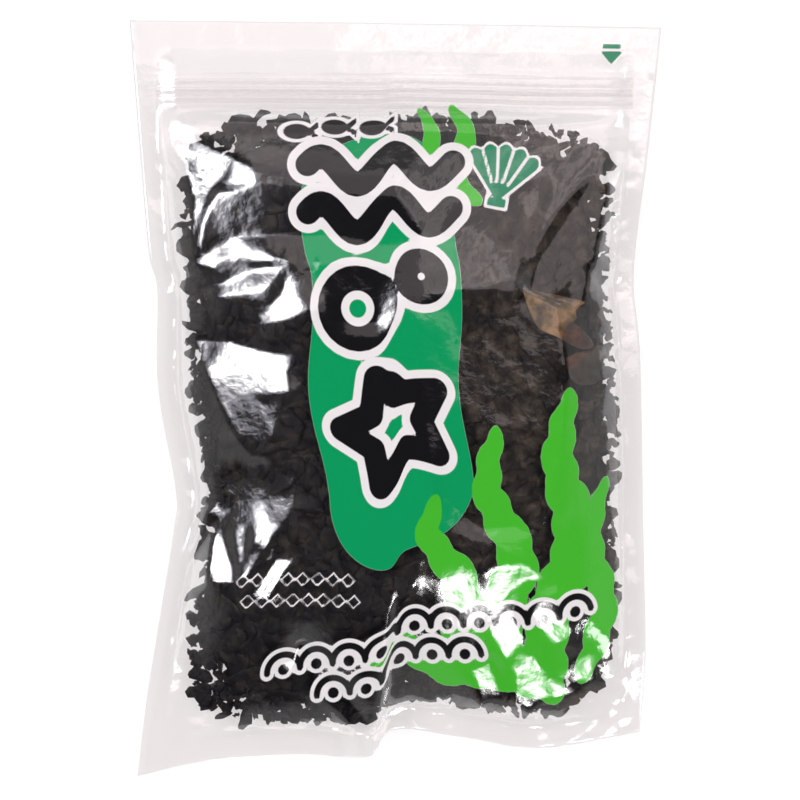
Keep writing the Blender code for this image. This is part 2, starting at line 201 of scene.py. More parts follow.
# How the front film departs from its smooth swell
creases = {
    # a fold that stands up: its height at both ends, how wide it spreads, and the places it
    # runs through, seen from above
    "crests": [
        (2.0, 1.6, 9.0, [(-74, 94), (-60, 87.5), (-47.6, 80.6), (-23, 77), (4, 79)]),
        (1.6, 1.8, 14.0, [(10, 36), (28, 39), (44.4, 40), (60, 34)]),
        (0.6, 1.4, 5.0, [(-52, 47), (-38, 46.5)]),
        (1.3, 1.0, 2.6, [(75, 85), (60, 70), (52, 57), (45, 41)]),
        (0.9, 0.7, 3.2, [(36, 78), (47, 76.5), (51, 70), (46, 57)]),
        (0.5, 0.3, 2.0, [(-34, 86), (-20, 91), (-6, 90)]),
        (1.4, 0.6, 2.5, [(-49, -23.6), (-49.9, -34), (-47, -50)]),
        (0.7, 0.5, 3.0, [(-49.5, -24.6), (-65, -41.3), (-78, -64)]),
        (0.6, 1.8, 3.5, [(-32.4, -91), (-19, -108), (-11.6, -116), (-11.6, -127)]),
        (0.4, 1.4, 5.0, [(10, -92), (3, -106), (1, -117)]),
        (1.4, 0.5, 3.0, [(49.9, -71.5), (61.4, -68.4)]),
        (1.4, 0.5, 3.0, [(49.9, -71.5), (44.7, -80.2)]),
        (0.4, 1.2, 2.2, [(66, 47), (75, 44), (85, 43.5)]),
        (0.3, 0.9, 2.0, [(70, 56), (78, 62), (87, 64)]),
        (0.3, 0.9, 2.4, [(74, 12), (80, 8), (88, 6)]),
        (0.8, 0.3, 2.2, [(-87, 38), (-78, 40), (-66, 40.5)]),
        (0.7, 0.4, 2.2, [(-84, -70), (-76, -60), (-68, -44)]),
    ],
    "hollows": [
        (0.6, 0.6, 2.0, [(23, 61), (38, 54), (45, 53.5)]),
    ],
    # where the film is pulled flat: the name of its slope and its outline seen from above
    "facets": [
        ("leftTop", [(-83, 102), (-77, 98), (-66, 88), (-58.6, 84.5), (-60, 79), (-64.5, 74),
                  (-70.8, 58), (-73, 46), (-71, 71), (-74.5, 83), (-81, 89)]),
        ("leftTop", [(-56.5, 84), (-51, 83), (-47.6, 75), (-53.5, 75.5), (-62, 73.5), (-57.5, 78.5)]),
        ("left", [(-74, 45), (-66, 51), (-58.3, 57.5), (-50, 52), (-37.5, 47.6), (-47, 47.2),
                  (-58, 49.6), (-64, 47.5)]),
        ("leftFoot", [(-84, 38.5), (-65, 40), (-52, 43.8), (-37.5, 47), (-44, 40.5), (-53, 36.8),
                  (-61, 35.8)]),
        ("left", [(-37.6, 45.3), (-35.8, 37.4), (-28.3, 30.3), (-34, 28.5), (-40.5, 27),
                  (-46.5, 24.3), (-45.5, 30.7), (-39.4, 36.4)]),
        ("glow", [(-71, 18.5), (-68.6, 20.7), (-61, 20.3), (-64, 12), (-64, 3), (-69.3, 13.2)]),
        ("left", [(-60.8, 20.3), (-56.9, 20.3), (-47.2, 16.8), (-39.4, 15.7), (-36.2, 1),
                  (-42.2, 2.1), (-48, 0.4), (-43.3, -3.2), (-44.7, -7.1), (-43, -12.8),
                  (-44, -16), (-48.7, -23.5), (-58.8, -8.9), (-63.5, 1.4), (-63.5, 12)]),
        ("glow", [(-47.6, -25.7), (-46.2, -48.8), (-51.2, -53.5), (-60.8, -57.8), (-65.4, -52.4),
                  (-61.9, -38.1), (-54.4, -29.2)]),
        ("leftLow", [(-50.5, -22), (-46.4, -23), (-46.4, -34), (-44, -44), (-44, -53),
                  (-48, -52), (-50.8, -36)]),
        ("leftFoot", [(-49.5, -24), (-49, -28.5), (-57, -38.5), (-64, -45), (-78, -66), (-67, -41),
                  (-56, -29)]),
        ("left", [(-35, -88), (-31.5, -86), (-29, -95), (-19, -104.5), (-10.5, -113.5),
                  (-9.5, -126), (-14, -127.5), (-14.5, -117), (-23.5, -108), (-34.5, -97)]),
        ("calm", [(-62, 73), (-47, 74), (-23, 72), (0, 72), (8, 60), (0, 52), (-20, 56),
                  (-40, 57), (-54, 57.5), (-64, 53), (-69.5, 50), (-68.5, 60), (-66, 68)]),
        ("calm", [(-66, 46.3), (-58, 48.4), (-47, 46.4), (-41, 46.2), (-50, 44.5), (-62, 42.5)]),
        ("calm", [(-28, 22), (2, 22), (10, 0), (12, -30), (6, -66), (-24, -66), (-31, -40),
                  (-30, -8)]),
        ("level", [(-26, 48), (-8, 46), (-6, 26), (-24, 27)]),
        ("bedMid", [(20, 38), (42, 38), (56, 33), (60, 10), (58, -18), (52, -44), (30, -46),
                  (16, -34), (18, -6), (24, 12)]),
        ("away", [(73, 79), (62, 66), (54.5, 54), (47, 41), (46, 38), (56, 33.5), (66, 34),
                  (70, 46), (73, 60), (75.5, 74)]),
        ("footFringe", [(-62.6, -47), (-60.6, -52), (-58, -58), (-56, -63.5), (-60, -65.5),
                        (-65.3, -65), (-66.5, -60), (-65, -52)]),
        ("steep", [(-61, -45.5), (-56.6, -46), (-56.8, -54), (-54, -60.5), (-56.2, -61),
                   (-58.8, -54)]),
        ("leftFoot", [(-55.4, -46.5), (-53, -47.5), (-53.4, -53.5), (-55.8, -53)]),
        ("steep", [(-52, -47), (-48.8, -50.6), (-53.4, -58.6), (-52.6, -53)]),
        ("leftLow", [(-48.4, -51.8), (-46, -53), (-52.8, -64.4), (-55.6, -63)]),
        ("leftLow", [(-41.7, -55), (-37.4, -57.6), (-44.6, -72), (-49.8, -70)]),
        ("low", [(30.5, -63), (34.4, -58.5), (46.2, -58.1), (53.7, -64.2), (46.2, -63.1),
                 (40.1, -67), (37.6, -70.6), (33.7, -67.7)]),
        ("lowFoot", [(49, -70), (56, -76), (63, -82), (58, -86.5), (51, -80)]),
        ("lowFoot", [(33, -80), (42, -77), (46, -86), (38, -93)]),
        ("lowFoot", [(27, -96), (34, -92), (38, -104), (30, -109)]),
        ("lowFoot", [(41.5, -88.4), (50.1, -91.6), (54.4, -104.1), (48, -112), (42.6, -107.7)]),
        ("lowFoot", [(63, -91), (68, -91), (70.5, -101), (65, -100.5)]),
        ("lowFoot", [(53.3, -97.7), (58.6, -104.1), (65.8, -102), (59.4, -106.6), (53.3, -107.7)]),
        ("right", [(67.6, 47.8), (74.7, 45.3), (84, 44.6), (83.6, 39.9), (74, 40.6),
                   (72.2, 41.7)]),
        ("right", [(76.8, 18.2), (85.4, 17.5), (85, 10), (78.6, 12.5)]),
    ],
    # how far the film rises for each millimetre to the right, and for each one up the pouch
    "slopes": {
        "left": (0.35, -0.14), "leftTop": (0.31, -0.08), "low": (-0.20, 0.30), "right": (-0.60, 0.50),
        "level": (0.05, 0.0), "calm": (0.15, 0.0), "away": (-0.12, 0.06), "bedMid": (-0.10, 0.13),
        "glow": (0.42, -0.20), "leftFoot": (0.25, -0.23), "leftLow": (0.36, -0.28),
        "lowFoot": (-0.20, 0.19), "footFringe": (0.28, -0.30), "steep": (0.70, -0.08)},
    "firmness": 12.0, "springBack": 0.0007, "rounds": 1200,
    # past these places of the flat film it stays where it was: at its sides, foot and head
    "heldSide": 86.0, "heldFoot": -125.0, "heldHead": 101.0,
    "broadSpacing": 27.0, "broadHeight": 0.5, "fineSpacing": 10.5, "fineHeight": 0.2,
    "peaksFrom": -130.0, "finePeaksTo": 104.0, "seed": 5,
    # height and size of the dents that the leaves press into the film
    "dents": [(0.17, 8.5), (0.05, 3.2)],
    # height, size and seed of the wrinkles that run in from the seals
    "side": (0.75, 12.0, 21.0), "sideFine": (0.4, 5.0, 22.0), "foot": (0.9, 9.0, 25.0),
    "crinkle": (0.55, 5.5, 27.0), "fold": (1.3, 13.0, 29.0),
    # and of the header's waves
    "header": (0.8, 30.0, 31.0), "headerFine": (0.2, 9.0, 32.0),
    # the strips' edges and ribs as seen through the film: distance from the zip's line, height
    "zipLines": [(7.6, 0.35), (4.6, 0.3), (1.6, 0.55), (-1.6, 0.55), (-4.6, 0.3)],
}


def gridLines(half, firstSeal, lastSeal):
    parts = []
    for low, high in ((-half, firstSeal - half), (firstSeal - half, half - lastSeal),
                      (half - lastSeal, half)):
        count = max(2, round((high - low) / pouch["cell"]))
        parts.append(np.linspace(low, high, count, endpoint=False))
    return np.append(np.concatenate(parts), half)


def tent(peaks, gridA, gridB):
    # a sheet stretched between peaks: flat triangles from one to the next
    far, top = 400.0, 50.0
    corners = [(-far, -far, 0), (far, -far, 0), (far, far, 0), (-far, far, 0)]
    peaks = list(peaks) + corners
    flat = [Vector(p[:2]) for p in peaks]
    points, _, faces, origins, *_ = geometry.delaunay_2d_cdt(flat, [], [], 0, 1e-5)
    heights = [peaks[origin[0]][2] if origin else 0.0 for origin in origins]
    tree = BVHTree.FromPolygons([(*p, h) for p, h in zip(points, heights)], faces)
    found = [tree.ray_cast(Vector((s, t, top)), Vector((0, 0, -1)))[0]
             for s, t in zip(gridA.ravel(), gridB.ravel())]
    return np.array([p.z if p else 0.0 for p in found]).reshape(gridA.shape)


def softened(heights, times):
    for _ in range(times):
        wide = np.pad(heights, 1, mode="edge")
        heights = (wide[:-2, 1:-1] + 2 * wide[1:-1, 1:-1] + wide[2:, 1:-1]) / 4
        wide = np.pad(heights, 1, mode="edge")
        heights = (wide[1:-1, :-2] + 2 * wide[1:-1, 1:-1] + wide[1:-1, 2:]) / 4
    return heights


def jitteredPeaks(draw, spacing, height, low, high):
    found = []
    columns = int(pouch["halfWidth"] / spacing)
    for row in range(int((high - low) / spacing) + 1):
        for column in range(-columns, columns + 1):
            a = (column + 0.5 * (row % 2) + draw.uniform(-0.35, 0.35)) * spacing
            b = low + (row + draw.uniform(-0.35, 0.35)) * spacing
            found.append((a, b, draw.uniform(-height, height)))
    return found


def crestField(gridX, gridY, crests):
    # the highest of the folds at each place, each falling away steeply at first
    field = np.zeros(gridX.shape)
    for first, last, spread, places in crests:
        line = smoothLine(places, 6)
        length = lengthAlong(line)
        for start, end, past, reached in zip(line, line[1:], length, length[1:]):
            t, away = nearestAlong(gridX, gridY, start, end)
            share = (past + t * (reached - past)) / length[-1]
            height = (first + (last - first) * share) * np.exp(-away / spread)
            field = np.maximum(field, height)
    return field


def insideOutline(gridX, gridY, outline):
    inside = np.zeros(gridX.shape, bool)
    for (x1, y1), (x2, y2) in zip(outline, outline[1:] + outline[:1]):
        if y1 != y2:
            crossing = x1 + (gridY - y1) * (x2 - x1) / (y2 - y1)
            inside ^= ((y1 > gridY) != (y2 > gridY)) & (gridX < crossing)
    return inside


def pullFlat(heights, gridA, gridB, gridX, gridY):
    # each facet pulls the film towards its own slope, and the film round it gives way
    steps, firm = [], []
    for axis in (0, 1):
        step = np.diff(heights, axis=axis)
        weight = np.ones(step.shape)
        runX, runY = np.diff(gridX, axis=axis), np.diff(gridY, axis=axis)
        middleX = gridX[:-1] + runX / 2 if axis == 0 else gridX[:, :-1] + runX / 2
        middleY = gridY[:-1] + runY / 2 if axis == 0 else gridY[:, :-1] + runY / 2
        for slopeName, outline in creases["facets"]:
            slopeX, slopeY = creases["slopes"][slopeName]
            pulled = insideOutline(middleX, middleY, outline)
            step[pulled] = (slopeX * runX + slopeY * runY)[pulled]
            weight[pulled] = creases["firmness"]
        steps.append(step)
        firm.append(weight)
    atSides = np.abs(gridA) > creases["heldSide"]
    atEnds = (gridB < creases["heldFoot"]) | (gridB > creases["heldHead"])
    spring = creases["springBack"] + 1.0 * atSides + 1.0 * atEnds
    total = spring.copy()
    total[:-1] += firm[0]
    total[1:] += firm[0]
    total[:, :-1] += firm[1]
    total[:, 1:] += firm[1]
    fixed = spring * heights
    fixed[:-1] -= firm[0] * steps[0]
    fixed[1:] += firm[0] * steps[0]
    fixed[:, :-1] -= firm[1] * steps[1]
    fixed[:, 1:] += firm[1] * steps[1]
    relaxed = heights.copy()
    for _ in range(creases["rounds"]):
        pull = fixed.copy()
        pull[:-1] += firm[0] * relaxed[1:]
        pull[1:] += firm[0] * relaxed[:-1]
        pull[:, :-1] += firm[1] * relaxed[:, 1:]
        pull[:, 1:] += firm[1] * relaxed[:, :-1]
        relaxed = pull / total
    return relaxed


def makeRelief(gridA, gridB, gridX, gridY):
    # height of the creases over the smooth front film
    draw = random.Random(creases["seed"])
    zipFoot = pouch["zipLine"] - pouch["zipBand"] / 2
    start, reach = creases["peaksFrom"], creases["finePeaksTo"]
    broad = jitteredPeaks(draw, creases["broadSpacing"], creases["broadHeight"], start, zipFoot)
    broad = softened(tent(broad, gridA, gridB), 5)
    fine = jitteredPeaks(draw, creases["fineSpacing"], creases["fineHeight"], start, reach)
    fine = softened(tent(fine, gridA, gridB), 2)
    fine = fine * (0.2 + 0.8 * ramp(0.5 + 1.6 * noiseAt(gridA, gridB, 38.0, 7.0)))
    folds = crestField(gridX, gridY, creases["crests"])
    folds = softened(folds - crestField(gridX, gridY, creases["hollows"]), 1)
    inside, above = insets(gridA, gridB)
    fade = ramp(inside / 9) * ramp(above / 9) * ramp((zipFoot - gridB) / 8)
    return (broad + fine) * fade + folds * ramp((inside + 3) / 5) * ramp((above + 4) / 6) * fade**0.3


def leafDents(gridA, gridB):
    inside, above = insets(gridA, gridB)
    dents = sum(height * noiseAt(gridA, gridB, size, 41.0 + size)
                for height, size in creases["dents"])
    return dents * ramp(inside / 12) * ramp(above / 12) * ramp((98 - gridB) / 8)


def wrinkle(name, a, b):
    height, size, seed = creases[name]
    return height, noiseAt(a, b, size, seed)


def sealPuckers(gridA, gridB):
    # short wrinkles that run in from the seals, the same on both films in the seal itself
    inside, above = insets(gridA, gridB)
    whichSide = np.sign(gridA) * 40
    sideHeight, across = wrinkle("side", gridB, whichSide)
    fineShare, fine = wrinkle("sideFine", gridB, whichSide)
    side = sideHeight * (across + fineShare * fine) * ramp((inside + 7) / 9) * ramp(1 - inside / 16)
    footHeight, lengthwise = wrinkle("foot", gridA, 0 * gridB)
    foot = footHeight * lengthwise * ramp((above + 8) / 9) * ramp(1 - above / 15)
    clearOfZip = ramp((pouch["zipLine"] - 9 - gridB) / 14)
    atEdge = np.maximum(ramp(1 - inside / 18), ramp(1 - above / 18))
    height, crinkle = wrinkle("crinkle", 0.3 * inside, gridB + 0.45 * inside)
    crinkle = height * np.abs(crinkle) * atEdge * ramp((inside + 6) / 6)
    height, folds = wrinkle("fold", 0.6 * np.abs(gridA), gridB + 0.5 * gridA)
    crinkle = crinkle + height * np.abs(folds) * atEdge * ramp((inside + 8) / 8)
    return (side + crinkle) * clearOfZip + foot * ramp((inside + 2) / 10)


def headerWaves(gridA, gridB):
    # the header above the zip isn't quite flat, and a line is pressed in along its seal
    above = ramp((gridB - pouch["zipLine"] - 5) / 6)
    waves = [wrinkle(name, gridA, gridB) for name in ("header", "headerFine")]
    wave = sum(height * swing for height, swing in waves)
    sealFoot = pouch["halfLength"] - pouch["topSeal"]
    line = -0.22 * np.exp(-(((gridB - sealFoot) / 0.9) ** 2))
    return above * (wave + line)


def zipLines(gridA, gridB):
    # the strips press through the film
    place, width = gridB - pouch["zipLine"], 0.75
    lines = sum(height * np.exp(-(((place - at) / width) ** 2)) for at, height in creases["zipLines"])
    return lines * ramp((pouch["halfWidth"] - 2 - np.abs(gridA)) / 8)


def filmObject(name, gridX, gridY, heights, upward, layers):
    # a closed thin sheet: the outer face, the inner face and the cut edge round them
    rows, columns = gridX.shape
    thick = pouch["filmThickness"] * (-1 if upward else 1)
    outer = np.stack([gridX, gridY, heights], -1).reshape(-1, 3)
    inner = np.stack([gridX, gridY, heights + thick], -1).reshape(-1, 3)
    index = np.arange(rows * columns).reshape(rows, columns)
    quads = np.stack([index[:-1, :-1], index[:-1, 1:], index[1:, 1:], index[1:, :-1]], -1)
    quads = quads.reshape(-1, 4)
    edge = np.concatenate([index[0, :-1], index[:-1, -1], index[-1, :0:-1], index[:0:-1, 0]])
    following = np.roll(edge, -1)
    shift = rows * columns
    rim = np.stack([edge, edge + shift, following + shift, following], -1)
    faces = np.concatenate([quads, quads[:, ::-1] + shift, rim])
    if not upward:
        faces = faces[:, ::-1]
    mesh = bpy.data.meshes.new(name)
    mesh.vertices.add(2 * shift)
    mesh.vertices.foreach_set("co", (np.concatenate([outer, inner]) * mm).ravel())
    mesh.loops.add(faces.size)
    mesh.loops.foreach_set("vertex_index", faces.ravel())
    mesh.polygons.add(len(faces))
    mesh.polygons.foreach_set("loop_start", np.arange(0, faces.size, 4))
    mesh.update(calc_edges=True)
    mesh.validate()
    mesh.shade_smooth()
    mesh.polygons.foreach_set("use_smooth", np.arange(len(faces)) < 2 * len(quads))
    for layer, values in layers.items():
        attribute = mesh.attributes.new(layer, "FLOAT", "POINT")
        attribute.data.foreach_set("value", np.tile(values.ravel(), 2).astype(np.float32))
    return addObject(name, mesh)


# The print: each motif is drawn by the distance to it in millimetres, negative inside it
ink = {
    "panel": {"centre": (-5.0, 13.5), "halfWidth": 29.0, "halfHeight": 79.0},
    "marks": {"stroke": 9.0, "outline": 3.1, "centre": (-7.0, 20.0),
              "waves": (59.0, 41.5), "waveHalfWidth": 27, "waveHeight": 5.2,
              "bubbles": ((-8.0, 9.0, 11.0), (17.0, 17.0, 6.0)),
              "star": (3, -36), "starPoint": 20.5, "starNotch": 10.5, "starTurn": 0.25},
    # ribbons of weed: half width, then the places that its middle runs through
    "ribbons": [
        (8.6, [(60, -116), (56, -88), (67, -58), (60, -28), (66, -3)]),
        (7.6, [(52, -114), (38, -90), (44, -64), (31, -40), (36, -18)]),
        (7.0, [(44, -112), (24, -96), (23, -76), (9, -60), (11, -46)]),
        (5.6, [(70, -110), (78, -84), (73, -58), (79, -36)]),
        (5.2, [(38, -110), (16, -109), (0, -100), (-12, -101)]),
        (4.4, [(32, 66), (20, 78), (27, 90), (21, 103)]),
        (3.6, [(28, 68), (14, 84), (14, 93), (9, 101)]),
    ],
    "shell": {"foot": (39.0, 67.0), "radius": 22.0, "halfAngle": 0.72, "ribs": 5, "turn": 0.12,
              "ribHalfWidth": 0.62, "ribsFrom": 7.0, "ribTurns": (-0.6, -0.2, 0.2, 0.6),
              "knobHalf": (3.4, 1.6)},
    "fish": {"start": (-36.0, 93.5), "step": (14.0, 1.2), "count": 3, "half": (5.0, 2.9),
             "outline": 1.25, "wander": 0.8, "tailStart": 1.2, "tailLength": 4.2},
    "band": {"start": (-49.0, -104.0), "end": (74.0, -83.0), "radius": 6.2, "stroke": 2.4,
             "outline": 1.5,
             # its rows: where each starts, the share of the way that it ends at, and its foot
             "rows": ((0.0, 1.0, 0.0), (18.0, 0.62, -11.5))},
    "lozenges": {"start": (-63.0, -69.0), "step": 5.9, "count": 8, "rows": 2, "half": (2.6, 2.4),
                 "rowStep": 7.6, "stroke": 0.75},
    "arrow": {"at": (78.0, 124.5), "size": 4.2},
}


farOff = 1000.0  # past anything on the pouch


def pathDistance(a, b, points):
    points = np.array(points, float)
    return np.minimum.reduce([nearestAlong(a, b, s, e)[1] for s, e in zip(points, points[1:])])


def ribbonDistance(a, b, halfWidth, middle):
    # a ribbon that narrows to both ends, with waved sides
    line = smoothLine(middle, 8)
    length = lengthAlong(line)
    nearest = np.full(a.shape, farOff)
    for start, end, first, last in zip(line, line[1:], length, length[1:]):
        t, away = nearestAlong(a, b, start, end)
        along = first + t * (last - first)
        share = along / length[-1]
        width = halfWidth * (0.25 + 0.75 * np.sin(np.pi * share**0.75) ** 0.6)
        run = end - start
        side = np.sign((a - start[0]) * run[1] - (b - start[1]) * run[0])
        width = width * (1 + 0.16 * np.sin(along * 0.5 + 1.3 * side))
        nearest = np.minimum(nearest, away - width)
    return nearest


def panelDistance(a, b):
    # an upright blade with round ends and gently waved sides
    at = ink["panel"]
    s = a - at["centre"][0] - 1.6 * np.sin((b - at["centre"][1]) / 12.0)
    reach = at["halfHeight"] - at["halfWidth"]
    t = np.maximum(np.abs(b - at["centre"][1]) - reach, 0)
    return np.hypot(s, t) - at["halfWidth"]


def markDistance(a, b):
    # big marks one under the other: two waves, bubbles, and a starfish with an open middle
    at = ink["marks"]
    cx, cy = at["centre"]
    strokes = [[(cx + at["waveHalfWidth"] * s + 2,
                 cy + lift + at["waveHeight"] * math.sin(2 * math.pi * s + 0.4))
                for s in np.linspace(-1, 1, 33)] for lift in at["waves"]]
    turn = np.linspace(0, 2 * math.pi, 25)
    for x, y, radius in at["bubbles"]:
        strokes.append([(cx + x + radius * math.cos(t), cy + y + radius * math.sin(t))
                        for t in turn])
    star, (starX, starY) = [], at["star"]
    for k in range(11):
        angle = math.pi / 2 + at["starTurn"] + k * math.pi / 5
        reach = (at["starPoint"], at["starNotch"])[k % 2]
        star.append((cx + starX + reach * math.cos(angle), cy + starY + reach * math.sin(angle)))
    strokes.append(star)
    distance = np.minimum.reduce([pathDistance(a, b, stroke) for stroke in strokes])
    return distance - at["stroke"] / 2


def shellDistance(a, b):
    # a fan shell with a scalloped far edge; the second value is its ribs
    at = ink["shell"]
    s, t = a - at["foot"][0], b - at["foot"][1]
    cos, sin = math.cos(at["turn"]), math.sin(at["turn"])
    s, t = s * cos - t * sin, s * sin + t * cos
    angle, reach = np.arctan2(s, np.maximum(t, 1e-6)), np.hypot(s, t)
    spread = at["halfAngle"]
    scallop = np.abs(np.cos(angle / spread * at["ribs"] * np.pi / 2))
    body = np.maximum(reach - at["radius"] * (0.9 + 0.1 * scallop),
                      reach * np.sin(np.abs(angle) - spread))
    body = np.where(t < 0, reach, body)
    knob = np.maximum(np.abs(s) - at["knobHalf"][0], np.abs(t + 0.2) - at["knobHalf"][1])
    ribs = [reach * np.abs(np.sin(angle - turn * spread)) for turn in at["ribTurns"]]
    ribs = np.maximum(np.minimum.reduce(ribs) - at["ribHalfWidth"], at["ribsFrom"] - reach)
    return np.minimum(body, knob), ribs


def fishDistance(a, b):
    # a row of small fish, each an oval with a forked tail
    at = ink["fish"]
    halfA, halfB = at["half"]
    nearest = np.full(a.shape, farOff)
    for k in range(at["count"]):
        s = a - at["start"][0] - k * at["step"][0]
        t = b - at["start"][1] - k * at["step"][1] - at["wander"] * math.sin(2.2 * k)
        oval = (np.hypot(s / halfA, t / halfB) - 1) * halfB
        behind = s - halfA + at["tailStart"]
        tail = np.maximum(np.maximum(np.abs(t) - 0.9 * behind - 0.3, behind - at["tailLength"]),
                          0.55 * behind - np.abs(t) - 1.0)
        nearest = np.minimum(nearest, np.minimum(oval, np.where(behind < 0, oval, tail)))
    return nearest


def bandDistance(a, b):
    # a slanted row of wave scallops, and a shorter one under it
    at = ink["band"]
    start, end = np.array(at["start"]), np.array(at["end"])
    run = (end - start) / np.linalg.norm(end - start)
    along = (a - start[0]) * run[0] + (b - start[1]) * run[1]
    up = -(a - start[0]) * run[1] + (b - start[1]) * run[0]
    nearest = np.full(a.shape, farOff)
    length = np.linalg.norm(end - start)
    for first, share, base in at["rows"]:
        count = round((length * share - first) / (2 * at["radius"]))
        for k in range(count):
            s = along - first - at["radius"] * (2 * k + 1)
            t = up - base
            arc = np.abs(np.hypot(s, t) - at["radius"])
            foot = np.hypot(np.abs(s) - at["radius"], t)
            nearest = np.minimum(nearest, np.where(t > 0, arc, foot))
            nearest = np.minimum(nearest, np.hypot(s, t - 0.6) - 0.9)
    return nearest - at["stroke"] / 2


def lozengeDistance(a, b):
    at = ink["lozenges"]
    halfA, halfB = at["half"]
    nearest = np.full(a.shape, farOff)
    for row in range(at["rows"]):
        for k in range(at["count"]):
            s = a - at["start"][0] - at["step"] * (k + 0.5 * row)
            t = b - at["start"][1] + at["rowStep"] * row
            diamond = (np.abs(s) / halfA + np.abs(t) / halfB - 1) * halfA * 0.7
            nearest = np.minimum(nearest, np.abs(diamond))
    return nearest - at["stroke"] / 2


def arrowDistance(a, b):
    # a small solid wedge that points down, with a bar over it
    (x, y), size = ink["arrow"]["at"], ink["arrow"]["size"]
    wedge = np.maximum(np.abs(a - x) - (b - y + size) * 0.8, b - y - 1)
    bar = np.maximum(np.abs(a - x) - size * 0.8, np.abs(b - y - 3.0) - 0.8)
    return np.minimum(wedge, bar)


def printLayers(a, b):
    ribbons = np.minimum.reduce([ribbonDistance(a, b, *ribbon) for ribbon in ink["ribbons"]])
    shell, shellRibs = shellDistance(a, b)
    return {
        "panelInk": panelDistance(a, b),
        "markInk": markDistance(a, b),
        "ribbonInk": ribbons,
        "shellInk": shell,
        "shellRib": shellRibs,
        "fishInk": fishDistance(a, b),
        "bandInk": bandDistance(a, b),
        "lozengeInk": lozengeDistance(a, b),
        "arrowInk": arrowDistance(a, b),
    }


class Signal:
    # the value of a node's socket: + - * on it add Math nodes
    def __init__(self, nodes, socket):
        self.nodes, self.socket = nodes, socket

    def math(self, operation, *values):
        return self.nodes.node("ShaderNodeMath", {"operation": operation}, values)

    def __add__(self, other):
        return self.math("ADD", self, other)

    def __sub__(self, other):
        return self.math("SUBTRACT", self, other)

    def __mul__(self, other):
        return self.math("MULTIPLY", self, other)

    def __rsub__(self, other):
        return self.math("SUBTRACT", other, self)

    __radd__, __rmul__ = __add__, __mul__

    def between(self, low, high, toLow=0.0, toHigh=1.0):
        # eases from toLow at low to toHigh at high
        return self.nodes.node("ShaderNodeMapRange", {"interpolation_type": "SMOOTHSTEP"},
                               (self, low, high, toLow, toHigh))

    def output(self, name):
        # another output of the same node
        return Signal(self.nodes, self.socket.node.outputs[name])


class Nodes:
    # a node tree being written
    def __init__(self, tree):
        self.tree = tree

    def node(self, kind, settings=None, inputs=(), output=0):
        made = self.tree.nodes.new(kind)
        for key, value in (settings or {}).items():
            if key == "stops":
                self.setStops(made.color_ramp.elements, value)
            else:
                setattr(made, key, value)
        for key, value in inputs.items() if isinstance(inputs, dict) else enumerate(inputs):
            if isinstance(value, Signal):
                self.tree.links.new(value.socket, made.inputs[key])
            else:
                made.inputs[key].default_value = value
        return Signal(self, made.outputs[output]) if len(made.outputs) else made

    def setStops(self, elements, stops):
        while len(elements) < len(stops):
            elements.new(0.5)
        for element, (position, colour) in zip(elements, stops):
            element.position = position
            element.color = (*colour, 1)


class Paint(Nodes):
    # a material being written
    def __init__(self, name):
        self.material = bpy.data.materials.new(name)
        self.material.use_nodes = True
        super().__init__(self.material.node_tree)
        self.tree.nodes.clear()
        self.place = self.node("ShaderNodeTexCoord", output=3)

    def mixColour(self, factor, first, second):
        return self.node("ShaderNodeMix", {"data_type": "RGBA"},
                         {0: factor, 6: first, 7: second}, output=2)

    def attribute(self, name):
        return self.node("ShaderNodeAttribute", {"attribute_name": name}, output=2)

    def noise(self, scale, detail, **more):
        return self.node("ShaderNodeTexNoise", None, {
            "Vector": self.place, "Scale": scale, "Detail": detail, **more})

    def bumps(self, height, strength, distance):
        return self.node("ShaderNodeBump", None, {
            "Strength": strength, "Distance": distance, "Height": height})

    def finish(self, shader):
        self.node("ShaderNodeOutputMaterial", None, {"Surface": shader})
        return self.material


inkColours = {
    "emerald": (0.002, 0.33, 0.11, 1), "lime": (0.06, 0.5, 0.028, 1),
    "white": (0.86, 0.84, 0.84, 1), "black": (0.006, 0.006, 0.007, 1),
    "teal": (0.008, 0.24, 0.115, 1), "clear": (1.0, 1.0, 1.0, 1),
}


filmLook = {
    "tint": (0.983, 0.974, 0.973, 1), "gloss": 1.8, "atASlant": 0.15, "roughness": 0.11,
    "dimpleScale": 330.0, "dimpleDepth": 0.0002, "inkEdge": 0.22, "shellOutline": 1.1,
}


def filmShader(paint, colour, covered):
    # clear film: light passes straight through, less what its faces reflect; ink covers it
    normal = paint.bumps(paint.noise(filmLook["dimpleScale"], 2.0), 0.5, filmLook["dimpleDepth"])
    gloss = paint.node("ShaderNodeFresnel", None, {"IOR": 1.5, "Normal": normal})
    inner = paint.node("ShaderNodeNewGeometry", output=6)
    slant = paint.node("ShaderNodeLayerWeight", None, {"Blend": 0.5, "Normal": normal}, output=1)
    gloss = (gloss * filmLook["gloss"] + slant * filmLook["atASlant"]) * (1 - inner)
    through = paint.node("ShaderNodeBsdfTransparent", None, {"Color": filmLook["tint"]})
    surface = paint.node("ShaderNodeBsdfPrincipled", None, {
        "Base Color": colour, "Metallic": 1 - covered, "Roughness": filmLook["roughness"],
        "Normal": normal, "Specular IOR Level": 0.75})
    shown = gloss.math("MAXIMUM", gloss, covered)
    return paint.node("ShaderNodeMixShader", None, (shown, through, surface))


